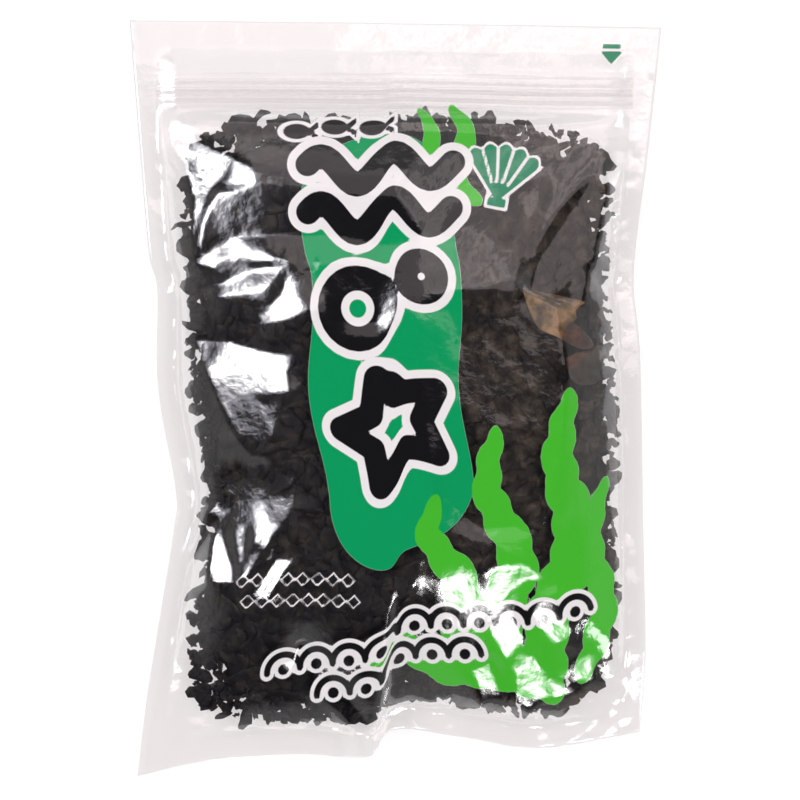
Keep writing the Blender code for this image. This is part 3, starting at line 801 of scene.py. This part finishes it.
def makePrintedFilm():
    paint, edge = Paint("printedFilm"), filmLook["inkEdge"]

    def inside(distance, grow=0.0):
        return distance.between(grow - edge, grow + edge, 1.0, 0.0)

    colour, covered = inkColours["clear"], 0.0
    mark, band = paint.attribute("markInk"), paint.attribute("bandInk")
    shell, fish = paint.attribute("shellInk"), paint.attribute("fishInk")
    layers = (
        (inside(paint.attribute("panelInk")), "emerald"),
        (inside(paint.attribute("ribbonInk")), "lime"),
        (inside(shell, filmLook["shellOutline"]), "white"), (inside(shell), "teal"),
        (inside(shell) * inside(paint.attribute("shellRib")), "white"),
        (inside(fish, ink["fish"]["outline"]), "white"), (inside(fish), "black"),
        (inside(paint.attribute("lozengeInk")), "white"),
        (inside(band, ink["band"]["outline"]), "white"), (inside(band), "black"),
        (inside(mark, ink["marks"]["outline"]), "white"), (inside(mark), "black"),
        (inside(paint.attribute("arrowInk")), "teal"),
    )
    for mask, name in layers:
        colour = paint.mixColour(mask, colour, inkColours[name])
        covered = mask.math("MAXIMUM", mask, covered)
    return paint.finish(filmShader(paint, colour, covered))


def makeClearFilm():
    paint = Paint("clearFilm")
    return paint.finish(filmShader(paint, inkColours["clear"], paint.attribute("noInk")))


def makeZipPlastic():
    paint = Paint("zipPlastic")
    drawn = paint.node("ShaderNodeMapping", None, {"Vector": paint.place, "Scale": (40, 900, 900)})
    streaks = paint.noise(1.0, 2.0, Vector=drawn)
    through = paint.node("ShaderNodeBsdfTransparent", None, {"Color": (0.995, 0.993, 0.993, 1)})
    surface = paint.node("ShaderNodeBsdfPrincipled", None, {
        "Base Color": paint.mixColour(streaks, (0.8, 0.8, 0.8, 1), (0.95, 0.95, 0.95, 1)),
        "Roughness": streaks.between(0.2, 0.8, 0.25, 0.45)})
    shown = streaks.between(0.2, 0.8, 0.05, 0.12)
    return paint.finish(paint.node("ShaderNodeMixShader", None, (shown, through, surface)))


# How dark or pale a leaf is where its patches are faint, middling and strong
leafColours = {
    "black": [(0.34, (0.004, 0.004, 0.0065)), (0.5, (0.0085, 0.008, 0.0085)),
              (0.66, (0.028, 0.023, 0.018))],
    "brown": [(0.34, (0.007, 0.0065, 0.006)), (0.5, (0.022, 0.018, 0.014)),
              (0.66, (0.07, 0.055, 0.04))],
    "golden": [(0.36, (0.05, 0.028, 0.01)), (0.5, (0.17, 0.105, 0.034)),
               (0.64, (0.36, 0.21, 0.10))],
    "rust": [(0.4, (0.03, 0.008, 0.004)), (0.6, (0.13, 0.045, 0.018))],
    "dark": [(0.4, (0.012, 0.008, 0.006)), (0.6, (0.045, 0.028, 0.015))],
    # where one gives way to the next, in metres: across the bed, and towards its lower right
    "toBrown": (-0.01, 0.035), "toRust": (0.032, 0.040), "toDark": (0.049, 0.054),
}


def leafColour(paint, patches, name):
    return paint.node("ShaderNodeValToRGB", {"stops": leafColours[name]}, (patches,))


def makeWakame():
    # black at the left of the bed, browner at the right
    paint = Paint("wakameLeaf")
    patches, grain = paint.noise(200.0, 5.0), paint.noise(900.0, 5.0, Roughness=0.6)
    black, brown = (leafColour(paint, patches, name) for name in ("black", "brown"))
    across = paint.node("ShaderNodeSeparateXYZ", None, (paint.place,))
    return paint.finish(paint.node("ShaderNodeBsdfPrincipled", None, {
        "Base Color": paint.mixColour(across.between(*leafColours["toBrown"]), black, brown),
        "Roughness": grain.between(0.3, 0.7, 0.42, 0.62), "Specular IOR Level": 0.25,
        "Normal": paint.bumps(grain, 0.6, 0.0004)}))


def makeBrownLeaf():
    # golden at its middle, rust in its tail and dark towards the rim of the bed
    paint = Paint("brownLeaf")
    patches, veins = paint.noise(170.0, 3.0), paint.noise(700.0, 4.0)
    golden, rust, dark = (leafColour(paint, patches, name) for name in ("golden", "rust", "dark"))
    apart = paint.node("ShaderNodeSeparateXYZ", None, (paint.place,))
    alongTail = apart - apart.output("Y")
    colour = paint.mixColour(alongTail.between(*leafColours["toRust"]), golden, rust)
    colour = paint.mixColour(alongTail.between(*leafColours["toDark"]), colour, dark)
    return paint.finish(paint.node("ShaderNodeBsdfPrincipled", None, {
        "Base Color": colour, "Roughness": veins.between(0.3, 0.7, 0.34, 0.5),
        "Normal": paint.bumps(patches + veins * 0.4, 0.5, 0.0004)}))


# Both films are laid out on one grid
lineA = gridLines(pouch["halfWidth"], pouch["sideSeal"], pouch["sideSeal"])
lineB = gridLines(pouch["halfLength"], pouch["bottomSeal"], pouch["topSeal"])
gridA, gridB = np.meshgrid(lineA, lineB)
gridX, gridY = plan(gridA, gridB)
sharedWaves = sealPuckers(gridA, gridB) + headerWaves(gridA, gridB)
frontZ = frontHeight(gridA, gridB) + makeRelief(gridA, gridB, gridX, gridY)
frontZ = softened(pullFlat(frontZ, gridA, gridB, gridX, gridY), 1) + leafDents(gridA, gridB)
frontZ = frontZ + sharedWaves + zipLines(gridA, gridB)
backZ = backHeight(gridA, gridB)
backZ = np.maximum(backZ + sharedWaves * ramp(backZ / 1.5) - zipLines(gridA, gridB), 0.0)
frontZ = np.maximum(frontZ, backZ + 2 * pouch["filmThickness"] + pouch["weldGap"])

frontFilm = filmObject("frontFilm", gridX, gridY, frontZ, True, printLayers(gridA, gridB))
backFilm = filmObject("backFilm", gridX, gridY, backZ, False, {"noInk": gridA * 0})
frontFilm.data.materials.append(makePrintedFilm())
backFilm.data.materials.append(makeClearFilm())
print("films made:", len(frontFilm.data.polygons), "faces each")


wakame = {
    "centre": (1.0, -12.0), "halfWidth": 80.0, "halfLength": 107.0, "squareness": 5.0,
    "coreReach": 0.955, "coreShare": 0.38, "coreAround": 144, "coreRows": 72,
    "clearOfFilm": 0.65, "pileWander": 0.02,
    # the ribbon that the curled leaves stand on: its rows, how square, how high and how uneven
    "rimRows": (0.94, 0.985, 1.03), "rimSquareness": 7.0, "rimLevel": 0.62, "rimWander": 0.012,
    "rimAround": 160,
    "flakeThickness": 0.28, "twist": 0.3, "lobeDepth": 0.22, "raggedness": 0.05, "seed": 11,
    "densest": 200000.0,
    # how deep under the film the leaves are pressed, and the least room that one needs
    "shallowest": 0.12, "depthRange": 0.6, "leastRoom": 1.2,
    # kinds, points round the edge, half length, half width, curl, frill, spacing, lean and the
    # smallest and largest scale
    "pressed": {"kinds": 14, "around": 12, "long": (3.4, 8.0), "wide": (2.6, 5.0),
                "curl": (-0.006, 0.012), "frill": 0.12, "spacing": 4.4, "lean": 0.10,
                "smallest": 0.7, "largest": 1.3},
    "curled": {"kinds": 14, "around": 14, "long": (1.9, 4.6), "wide": (1.4, 3.2),
               "curl": (-0.12, 0.2), "frill": 0.8, "spacing": 2.4, "lean": 0.8,
               "smallest": 0.5, "largest": 1.6},
}
brownLeaves = {
    # where the bed stays down under each, how far round, and its outline seen from above
    "brownLeafUpper": {"middle": (56.0, 28.5), "reach": 12.0, "outline": [
        (44.5, 38.4), (49, 37.4), (55, 36.6), (60, 35.4), (66.5, 34), (65, 32.4), (63.4, 30.6),
        (63.6, 28), (62.4, 26.6), (64.6, 24.9), (67, 22.6), (69, 20.6), (69.6, 18), (66, 17.2),
        (62, 18.6), (57.6, 21), (53.6, 22.6), (50, 24.6), (47.6, 29), (45.6, 34)]},
    "brownLeafLower": {"middle": (66.5, 12.0), "reach": 8.5, "outline": [
        (60, 14), (64, 16), (69, 16.6), (71, 18.6), (73.6, 18.4), (74.6, 16.2), (72.6, 14),
        (74, 11.6), (72, 9), (72.4, 6.4), (68, 4.6), (63, 5.4), (60.6, 9)]},
    "room": 2.6, "cell": 0.8, "under": 1.1, "foldHeight": 0.5, "thickness": 0.25,
}


rayTop, rayFoot = 80.0, -20.0  # over and under the whole pouch


def filmTree(piece):
    points = [v.co / mm for v in piece.data.vertices]
    return BVHTree.FromPolygons(points, [p.vertices[:] for p in piece.data.polygons])


frontTree, backTree = filmTree(frontFilm), filmTree(backFilm)
up, down = Vector((0, 0, 1)), Vector((0, 0, -1))


def between(x, y):
    # the lowest and highest a leaf may lie at a place, inside the films
    top = frontTree.ray_cast(Vector((x, y, rayTop)), down)[0]
    foot = backTree.ray_cast(Vector((x, y, rayFoot)), up)[0]
    if top is None or foot is None:
        return None
    return foot.z + pouch["filmThickness"], top.z - pouch["filmThickness"]


def bedReach(angle, k):
    return float((abs(math.cos(angle)) ** k + abs(math.sin(angle)) ** k) ** (-1 / k))


def roomForBrown(x, y):
    # how far the bed stays down under the brown leaves
    deepest = 0.0
    for leaf in (brownLeaves["brownLeafUpper"], brownLeaves["brownLeafLower"]):
        middleX, middleY = leaf["middle"]
        near = math.hypot(x - middleX, y - middleY) / leaf["reach"]
        deepest = max(deepest, float(ramp((1.6 - near) / 0.5)))
    return brownLeaves["room"] * deepest


def bedPlace(size, angle):
    # a place in the bed, before the pouch's sides draw in, at a share of its reach
    return (wakame["centre"][0] + wakame["halfWidth"] * size * math.cos(angle),
            wakame["centre"][1] + wakame["halfLength"] * size * math.sin(angle))


def bridge(bm, rings):
    # faces from each ring to the next; a ring that repeats one vertex closes to a point
    for inner, outer in zip(rings, rings[1:]):
        for k in range(len(inner)):
            j = (k + 1) % len(inner)
            corners = [inner[k], outer[k], outer[j], inner[j]]
            bm.faces.new([v for i, v in enumerate(corners) if v is not corners[i - 1]])


def makeBall(around, rows):
    # rings from pole to pole, in a fixed order, so that the leaves fall alike in every run
    bm = bmesh.new()
    rings = [[bm.verts.new((0, 0, 1))] * around]
    for row in range(1, rows):
        tilt = math.pi * row / rows
        rings.append([bm.verts.new((math.sin(tilt) * math.cos(math.tau * k / around),
                                    math.sin(tilt) * math.sin(math.tau * k / around),
                                    math.cos(tilt))) for k in range(around)])
    rings.append([bm.verts.new((0, 0, -1))] * around)
    bridge(bm, rings)
    return bm


def makeBedSkin():
    # the dense middle of the bed, as a rounded slab between the films
    bm = makeBall(wakame["coreAround"], wakame["coreRows"])
    for vertex in bm.verts:
        flat = math.hypot(vertex.co.x, vertex.co.y)
        angle = math.atan2(vertex.co.y, vertex.co.x)
        reach = flat**0.6
        size = reach * wakame["coreReach"] * bedReach(angle, wakame["squareness"])
        a, b = bedPlace(size, angle)
        side = math.copysign(wakame["coreShare"] * max(0.0, 1 - reach**4) ** 0.25, vertex.co.z)
        x, y = plan(a, b)
        low, high = between(x, y)
        high -= roomForBrown(x, y) + wakame["clearOfFilm"]
        low += wakame["clearOfFilm"]
        unevenness = noise.noise(Vector((a / 7, b / 7, vertex.co.z)))
        share = 0.5 + side + wakame["pileWander"] * unevenness
        vertex.co = (x, y, low + max(high - low, 0.5) * share)
    bmesh.ops.scale(bm, vec=(mm, mm, mm), verts=bm.verts)
    bmesh.ops.recalc_face_normals(bm, faces=bm.faces)
    return addObject("bedSkin", meshFrom(bm, "bedSkin"))


def makeFlake(name, shape, draw, collection):
    # one dried cut leaf: a scrap with a rounded, frilled edge
    long, wide = draw.uniform(*shape["long"]), draw.uniform(*shape["wide"])
    curl, twist = draw.uniform(*shape["curl"]), draw.uniform(-wakame["twist"], wakame["twist"])
    phase, lobes = draw.uniform(0, 6.28), draw.choice((2, 3))
    ragged = wakame["raggedness"]
    bm = bmesh.new()
    rings = [[bm.verts.new((0, 0, 0))] * shape["around"]]
    for share in (0.5, 1.0):
        ring = []
        for k in range(shape["around"]):
            angle = math.tau * k / shape["around"]
            lobe = math.sin(lobes * angle + phase)
            reach = share * (1 + share * (wakame["lobeDepth"] * lobe + draw.uniform(-ragged, ragged)))
            x, y = long * reach * math.cos(angle), wide * reach * math.sin(angle)
            z = curl * (y * y + 0.4 * x * x) + twist * share * share * math.sin(2 * angle)
            z += shape["frill"] * share * share * math.sin((lobes + 2) * angle + 2 * phase)
            ring.append(bm.verts.new((x * mm, y * mm, z * mm)))
        rings.append(ring)
    bridge(bm, rings)
    flake = bpy.data.objects.new(name, meshFrom(bm, name))
    thicken = flake.modifiers.new("thickness", "SOLIDIFY")
    thicken.thickness = wakame["flakeThickness"] * mm
    thicken.offset = 0.0
    collection.objects.link(flake)


def makeScatterTree():
    # scatters flakes evenly over a skin, each turned by chance about the skin's own normal
    tree = bpy.data.node_groups.new("layFlakes", "GeometryNodeTree")
    for name, kind in (("Skin", "Geometry"), ("Flakes", "Collection"), ("Spacing", "Float"),
                       ("Smallest", "Float"), ("Largest", "Float"), ("Lean", "Float"),
                       ("Seed", "Int"), ("Leaf", "Material")):
        tree.interface.new_socket(name=name, in_out="INPUT", socket_type="NodeSocket" + kind)
    tree.interface.new_socket(name="Flaked", in_out="OUTPUT", socket_type="NodeSocketGeometry")
    laying = Nodes(tree)
    given = laying.node("NodeGroupInput").output

    def chance(low, high, seed):
        return laying.node("FunctionNodeRandomValue", {"data_type": "FLOAT"},
                           {2: low, 3: high, "Seed": seed}, output=1)

    points = laying.node("GeometryNodeDistributePointsOnFaces", {"distribute_method": "POISSON"}, {
        "Mesh": given("Skin"), "Distance Min": given("Spacing"), "Seed": given("Seed"),
        "Density Max": wakame["densest"]})
    kinds = laying.node("GeometryNodeCollectionInfo", None, {
        "Collection": given("Flakes"), "Separate Children": True, "Reset Children": True})
    lean = given("Lean")
    turns = laying.node("ShaderNodeCombineXYZ", None, (
        chance(lean * -1.0, lean, 1), chance(lean * -1.0, lean, 2), chance(0.0, math.tau, 3)))
    turned = laying.node("FunctionNodeRotateRotation", {"rotation_space": "LOCAL"}, {
        "Rotation": points.output("Rotation"),
        "Rotate By": laying.node("FunctionNodeEulerToRotation", None, (turns,))})
    laid = laying.node("GeometryNodeInstanceOnPoints", None, {
        "Points": points, "Instance": kinds, "Pick Instance": True, "Rotation": turned,
        "Scale": chance(given("Smallest"), given("Largest"), 4)})
    finished = laying.node("GeometryNodeSetMaterial", None, {
        "Geometry": laying.node("GeometryNodeRealizeInstances", None, (laid,)),
        "Material": given("Leaf")})
    laying.node("NodeGroupOutput", None, {"Flaked": finished})
    return tree


def applyTree(skin, tree, values):
    modifier = skin.modifiers.new("scatter", "NODES")
    modifier.node_group = tree
    for item in tree.interface.items_tree:
        if item.in_out == "INPUT" and item.name in values:
            modifier[item.identifier] = values[item.name]
    bpy.context.view_layer.update()
    graph = bpy.context.evaluated_depsgraph_get()
    mesh = bpy.data.meshes.new_from_object(skin.evaluated_get(graph))
    skin.modifiers.remove(modifier)
    return mesh


def pressIn(mesh):
    # bends what would cross a film flat against its inside, each leaf a little under the last
    bm = bmesh.new()
    bm.from_mesh(mesh)
    unseen, number, lost = set(bm.verts), 0, []
    for start in list(bm.verts):
        if start not in unseen:
            continue
        island, front = [], [start]
        unseen.discard(start)
        while front:
            vertex = front.pop()
            island.append(vertex)
            for edge in vertex.link_edges:
                other = edge.other_vert(vertex)
                if other in unseen:
                    unseen.discard(other)
                    front.append(other)
        number += 1
        depth = wakame["shallowest"] + wakame["depthRange"] * ((number * 0.618) % 1.0)
        for vertex in island:
            x, y, z = vertex.co / mm
            room = between(x, y)
            if room is None or room[1] - room[0] < wakame["leastRoom"]:
                lost.extend(island)
                break
            low, high = room[0] + depth * 0.6, room[1] - depth
            low, high = min(low, high - 0.4), max(high, low + 0.1)
            vertex.co.z = min(max(z, low), high) * mm
    bmesh.ops.delete(bm, geom=list(set(lost)), context="VERTS")
    bm.to_mesh(mesh)
    bm.free()


def makeRimSkin():
    # a ribbon round the bed's edge, for the curled leaves that stand out from it
    around = wakame["rimAround"]
    bm = bmesh.new()
    rings = []
    for share in wakame["rimRows"]:
        ring = []
        for k in range(around):
            angle = math.tau * k / around
            size = share * bedReach(angle, wakame["rimSquareness"])
            size += wakame["rimWander"] * noise.noise(
                Vector((3 * math.cos(angle), 3 * math.sin(angle), 9)))
            x, y = plan(*bedPlace(size, angle))
            low, high = between(x, y)
            level = low + wakame["rimLevel"] * (high - low)
            ring.append(bm.verts.new(Vector((x, y, level)) * mm))
        rings.append(ring)
    bridge(bm, rings)
    return addObject("rimSkin", meshFrom(bm, "rimSkin"))


def halfSkin(skin, front):
    # the front or the back of the bed's skin without its sides
    half = addObject("halfSkin", skin.data.copy())
    bm = bmesh.new()
    bm.from_mesh(half.data)
    side = 1 if front else -1
    wrong = [f for f in bm.faces if f.normal.z * side < 0.3]
    bmesh.ops.delete(bm, geom=wrong, context="FACES")
    bm.to_mesh(half.data)
    bm.free()
    return half


def makeFlakeKinds(name, draw):
    kinds = bpy.data.collections.new(name)
    bpy.context.scene.collection.children.link(kinds)
    for k in range(wakame[name]["kinds"]):
        makeFlake(f"{name}{k}", wakame[name], draw, kinds)
    return kinds


def makeWakamePiece(name, skin, shapeName, seed, core=None):
    shape = wakame[shapeName]
    flaked = applyTree(skin, scatterTree, {
        "Flakes": flakeKinds[shapeName], "Spacing": shape["spacing"] * mm,
        "Smallest": shape["smallest"], "Largest": shape["largest"], "Lean": shape["lean"],
        "Seed": seed, "Leaf": wakameLeaf})
    bpy.data.objects.remove(skin)
    pressIn(flaked)
    if core:
        bm = bmesh.new()
        bm.from_mesh(flaked)
        bm.from_mesh(core.data)
        bm.to_mesh(flaked)
        bm.free()
    flaked.name = name
    flaked.materials.clear()
    flaked.materials.append(wakameLeaf)
    flaked.polygons.foreach_set("material_index", [0] * len(flaked.polygons))
    flaked.shade_smooth()
    print(name, "made:", len(flaked.polygons), "faces")
    return addObject(name, flaked)


wakameLeaf = makeWakame()
flakeDraw = random.Random(wakame["seed"])
flakeKinds = {name: makeFlakeKinds(name, flakeDraw) for name in ("pressed", "curled")}
scatterTree = makeScatterTree()
bedSkin = makeBedSkin()
print("bed skin made")
wakameFront = makeWakamePiece("wakameFront", halfSkin(bedSkin, True), "pressed", wakame["seed"],
                              bedSkin)
wakameBack = makeWakamePiece("wakameBack", halfSkin(bedSkin, False), "pressed",
                             wakame["seed"] + 1)
wakameRim = makeWakamePiece("wakameRim", makeRimSkin(), "curled", wakame["seed"] + 2)
bpy.data.objects.remove(bedSkin)
for kinds in flakeKinds.values():
    for flake in list(kinds.objects):
        bpy.data.objects.remove(flake)
    bpy.data.collections.remove(kinds)


def makeBrownPiece(name, material):
    # a thin leaf cut to its outline, folded and crumpled, that lies on the bed under the film
    corners = brownLeaves[name]["outline"]
    outline = [tuple(p) for p in smoothLine(corners + corners[:1], 5)[:-1]]
    lowX, lowY = np.min(outline, axis=0)
    highX, highY = np.max(outline, axis=0)
    gridOfX, gridOfY = np.meshgrid(np.arange(lowX, highX, brownLeaves["cell"]),
                                   np.arange(lowY, highY, brownLeaves["cell"]))
    within = insideOutline(gridOfX, gridOfY, outline)
    flat = [Vector(p) for p in outline + list(zip(gridOfX[within], gridOfY[within]))]
    rim = [(k, (k + 1) % len(outline)) for k in range(len(outline))]
    points, _, faces, *_ = geometry.delaunay_2d_cdt(flat, rim, [], 1, 1e-4)
    bm = bmesh.new()
    for x, y in points:
        high = between(x, y)[1] - brownLeaves["under"]
        fold = math.cos(0.55 * x + 0.35 * y) + 0.8 * noise.noise(Vector((x / 3, y / 3, 2)))
        bm.verts.new(Vector((x, y, high + brownLeaves["foldHeight"] * fold)) * mm)
    bm.verts.ensure_lookup_table()
    for face in faces:
        bm.faces.new([bm.verts[k] for k in face])
    bmesh.ops.recalc_face_normals(bm, faces=bm.faces)
    piece = addObject(name, meshFrom(bm, name))
    piece.data.shade_smooth()
    piece.data.materials.append(material)
    thicken = piece.modifiers.new("thickness", "SOLIDIFY")
    thicken.thickness = brownLeaves["thickness"] * mm
    thicken.offset = 0.0
    return piece


brownLeaf = makeBrownLeaf()
brownPieces = {name: makeBrownPiece(name, brownLeaf)
               for name in ("brownLeafUpper", "brownLeafLower")}
print("brown leaves made")


zipStrips = {
    "halfLength": 85.0, "crushed": 6.0, "stations": 60, "centreX": -0.4,
    "level": pouch["sealLevel"], "inside": 1.36, "crushedShare": 0.03,
    # profiles across the zip: along the pouch, and in from the film
    "rib": [(-5.5, 0), (5.5, 0), (5.5, 0.3), (4.6, 0.3), (4.4, 0.55), (4.2, 0.3), (3.2, 0.3),
            (3.0, 0.5), (2.8, 0.3), (0.35, 0.3), (0.35, 1.3), (0.9, 1.5), (0, 2.1), (-0.9, 1.5),
            (-0.35, 1.3), (-0.35, 0.3), (-2.8, 0.3), (-3.0, 0.5), (-3.2, 0.3), (-4.2, 0.3),
            (-4.4, 0.55), (-4.6, 0.3), (-5.5, 0.3)],
    "groove": [(-5.5, 0), (5.5, 0), (5.5, 0.3), (4.6, 0.3), (4.4, 0.5), (4.2, 0.3), (1.9, 0.3),
               (1.9, 2.1), (0.7, 1.95), (0.7, 1.65), (1.3, 1.55), (1.3, 0.3), (-1.3, 0.3),
               (-1.3, 1.55), (-0.7, 1.65), (-0.7, 1.95), (-1.9, 2.1), (-1.9, 0.3), (-4.2, 0.3),
               (-4.4, 0.5), (-4.6, 0.3), (-5.5, 0.3)],
}


def makeZipStrip(name, profile, upSide, material):
    # the profile run along the pouch, squeezed flat where the side seals crush it
    half, count = zipStrips["halfLength"], zipStrips["stations"]
    middleY = float(plan(0.0, pouch["zipLine"])[1])
    bm = bmesh.new()
    rings = []
    for x in np.linspace(-half, half, count):
        spread = float(ramp((half - abs(x)) / zipStrips["crushed"]))
        ring = []
        for y, z in profile:
            crushed = zipStrips["crushedShare"] * (1 - spread) * (2 - z)
            height = (zipStrips["inside"] - z) * spread + crushed
            place = Vector((x + zipStrips["centreX"], middleY + y,
                            zipStrips["level"] + upSide * height))
            ring.append(bm.verts.new(place * mm))
        rings.append(ring)
    for first, second in zip(rings, rings[1:]):
        for k in range(len(first)):
            j = (k + 1) % len(first)
            bm.faces.new((first[k], first[j], second[j], second[k]))
    bm.faces.new(rings[0][::-1])
    bm.faces.new(rings[-1])
    bmesh.ops.triangulate(bm, faces=[f for f in bm.faces if len(f.verts) > 4])
    bmesh.ops.recalc_face_normals(bm, faces=bm.faces)
    strip = addObject(name, meshFrom(bm, name))
    strip.data.materials.append(material)
    return strip


zipPlastic = makeZipPlastic()
zipRib = makeZipStrip("zipRib", zipStrips["rib"], 1, zipPlastic)
zipGroove = makeZipStrip("zipGroove", zipStrips["groove"], -1, zipPlastic)
print("zip strips made")


# Each piece is fixed to the root body, and the part that it stands for is hidden
for piece, node, slot in (
        (frontFilm, "front_film", "printed_film"), (backFilm, "back_film", "film"),
        (wakameFront, "wakame_bed", "wakame"), (wakameBack, "wakame_bed", "wakame"),
        (wakameRim, "wakame_bed", "wakame"),
        (zipRib, "zip_rib_strip", "zip"), (zipGroove, "zip_groove_strip", "zip"),
        (brownPieces["brownLeafUpper"], "brown_leaf_upper", "brown_leaf"),
        (brownPieces["brownLeafLower"], "brown_leaf_lower", "brown_leaf")):
    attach(piece, "root")
    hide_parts(node)


studio = {
    "cameraHeight": 1.1, "sensor": 36.0, "viewWidth": 0.2852, "focusHeight": 0.005,
    "cameraX": 0.0016, "cameraY": -0.0007,
    "floorSize": 6.0, "floorDrop": 0.0002, "floorGrey": 0.35, "floorGlow": 0.71,
    # the room is bright round the table and dark overhead
    "room": [(0.42, (0.42, 0.41, 0.41)), (0.62, (0.042, 0.040, 0.046))],
    # azimuth and height above the table in degrees, distance, width, height, power, colour
    "lights": {
        "leftSoftbox": (158, 48.5, 1.05, 0.22, 0.22, 2.0, (1, 0.99, 0.98)),
        "leftFringe": (158, 48.5, 1.08, 0.34, 0.34, 1.9, (1, 0.99, 1.0)),
        "leftGlow": (158, 48.5, 1.12, 0.50, 0.50, 1.9, (0.88, 0.88, 1.0)),
        "lowSoftbox": (-56, 50, 1.05, 0.15, 0.15, 1.05, (1, 0.99, 0.98)),
        "lowFringe": (-56, 50, 1.08, 0.24, 0.24, 0.8, (1, 0.99, 0.98)),
        "lowGlow": (-56, 50, 1.12, 0.36, 0.34, 0.9, (1, 0.98, 0.98)),
        "rightSoftbox": (-31, 29.5, 1.05, 0.20, 0.20, 1.6, (1, 1, 1)),
        "farVeil": (72, 54, 1.45, 1.8, 1.5, 7.8, (1.0, 0.88, 0.88)),
        **{f"veilStrip{letter}": (azimuth, 54, 1.40, 0.10, 1.3, 0.45, (1.0, 0.9, 0.88))
           for letter, azimuth in (("A", 50), ("B", 62), ("C", 74), ("D", 86))},
    },
}


def makeFloor():
    paint = Paint("paleFloor")
    floorPaint = paint.finish(paint.node("ShaderNodeBsdfPrincipled", None, {
        "Base Color": (*[studio["floorGrey"]] * 3, 1), "Roughness": 0.9,
        "Emission Color": (1, 1, 1, 1), "Emission Strength": studio["floorGlow"]}))
    half = studio["floorSize"] / 2
    mesh = bpy.data.meshes.new("floor")
    mesh.from_pydata([(-half, -half, 0), (half, -half, 0), (half, half, 0), (-half, half, 0)], [],
                     [(0, 1, 2, 3)])
    mesh.materials.append(floorPaint)
    floor = addObject("floor", mesh)
    floor.location.z = -studio["floorDrop"]


def lightPlace(azimuth, rise, distance):
    azimuth, rise = math.radians(azimuth), math.radians(rise)
    return distance * Vector((math.cos(rise) * math.cos(azimuth),
                              math.cos(rise) * math.sin(azimuth), math.sin(rise)))


def makeLight(name, azimuth, rise, distance, width, height, power, colour):
    lamp = bpy.data.lights.new(name, "AREA")
    lamp.shape = "RECTANGLE"
    lamp.size, lamp.size_y = width, height
    lamp.energy, lamp.color = power, colour
    light = addObject(name, lamp)
    light.location = lightPlace(azimuth, rise, distance)
    light.rotation_euler = (-light.location).to_track_quat("-Z", "Y").to_euler()


def makeRoom():
    world = bpy.data.worlds.new("studio")
    world.use_nodes = True
    sky = Nodes(world.node_tree)
    direction = sky.node("ShaderNodeTexCoord")
    height = sky.node("ShaderNodeSeparateXYZ", None, (direction,)).output("Z")
    shade = sky.node("ShaderNodeValToRGB", {"stops": studio["room"]}, (height,))
    sky.tree.links.new(shade.socket, sky.tree.nodes["Background"].inputs["Color"])
    return world


def makeCamera():
    lens = bpy.data.cameras.new("camera")
    lens.sensor_width = studio["sensor"]
    distance = studio["cameraHeight"] - studio["focusHeight"]
    lens.lens = studio["sensor"] * distance / studio["viewWidth"]
    camera = addObject("camera", lens)
    camera.location = (studio["cameraX"], studio["cameraY"], studio["cameraHeight"])
    bpy.context.scene.camera = camera


makeFloor()
for name, light in studio["lights"].items():
    makeLight(name, *light)
makeCamera()
bpy.context.scene.world = makeRoom()
bpy.context.scene.view_settings.view_transform = "Standard"
bpy.context.scene.cycles.transparent_max_bounces = 24  # enough for both films and the zip
print("studio made")
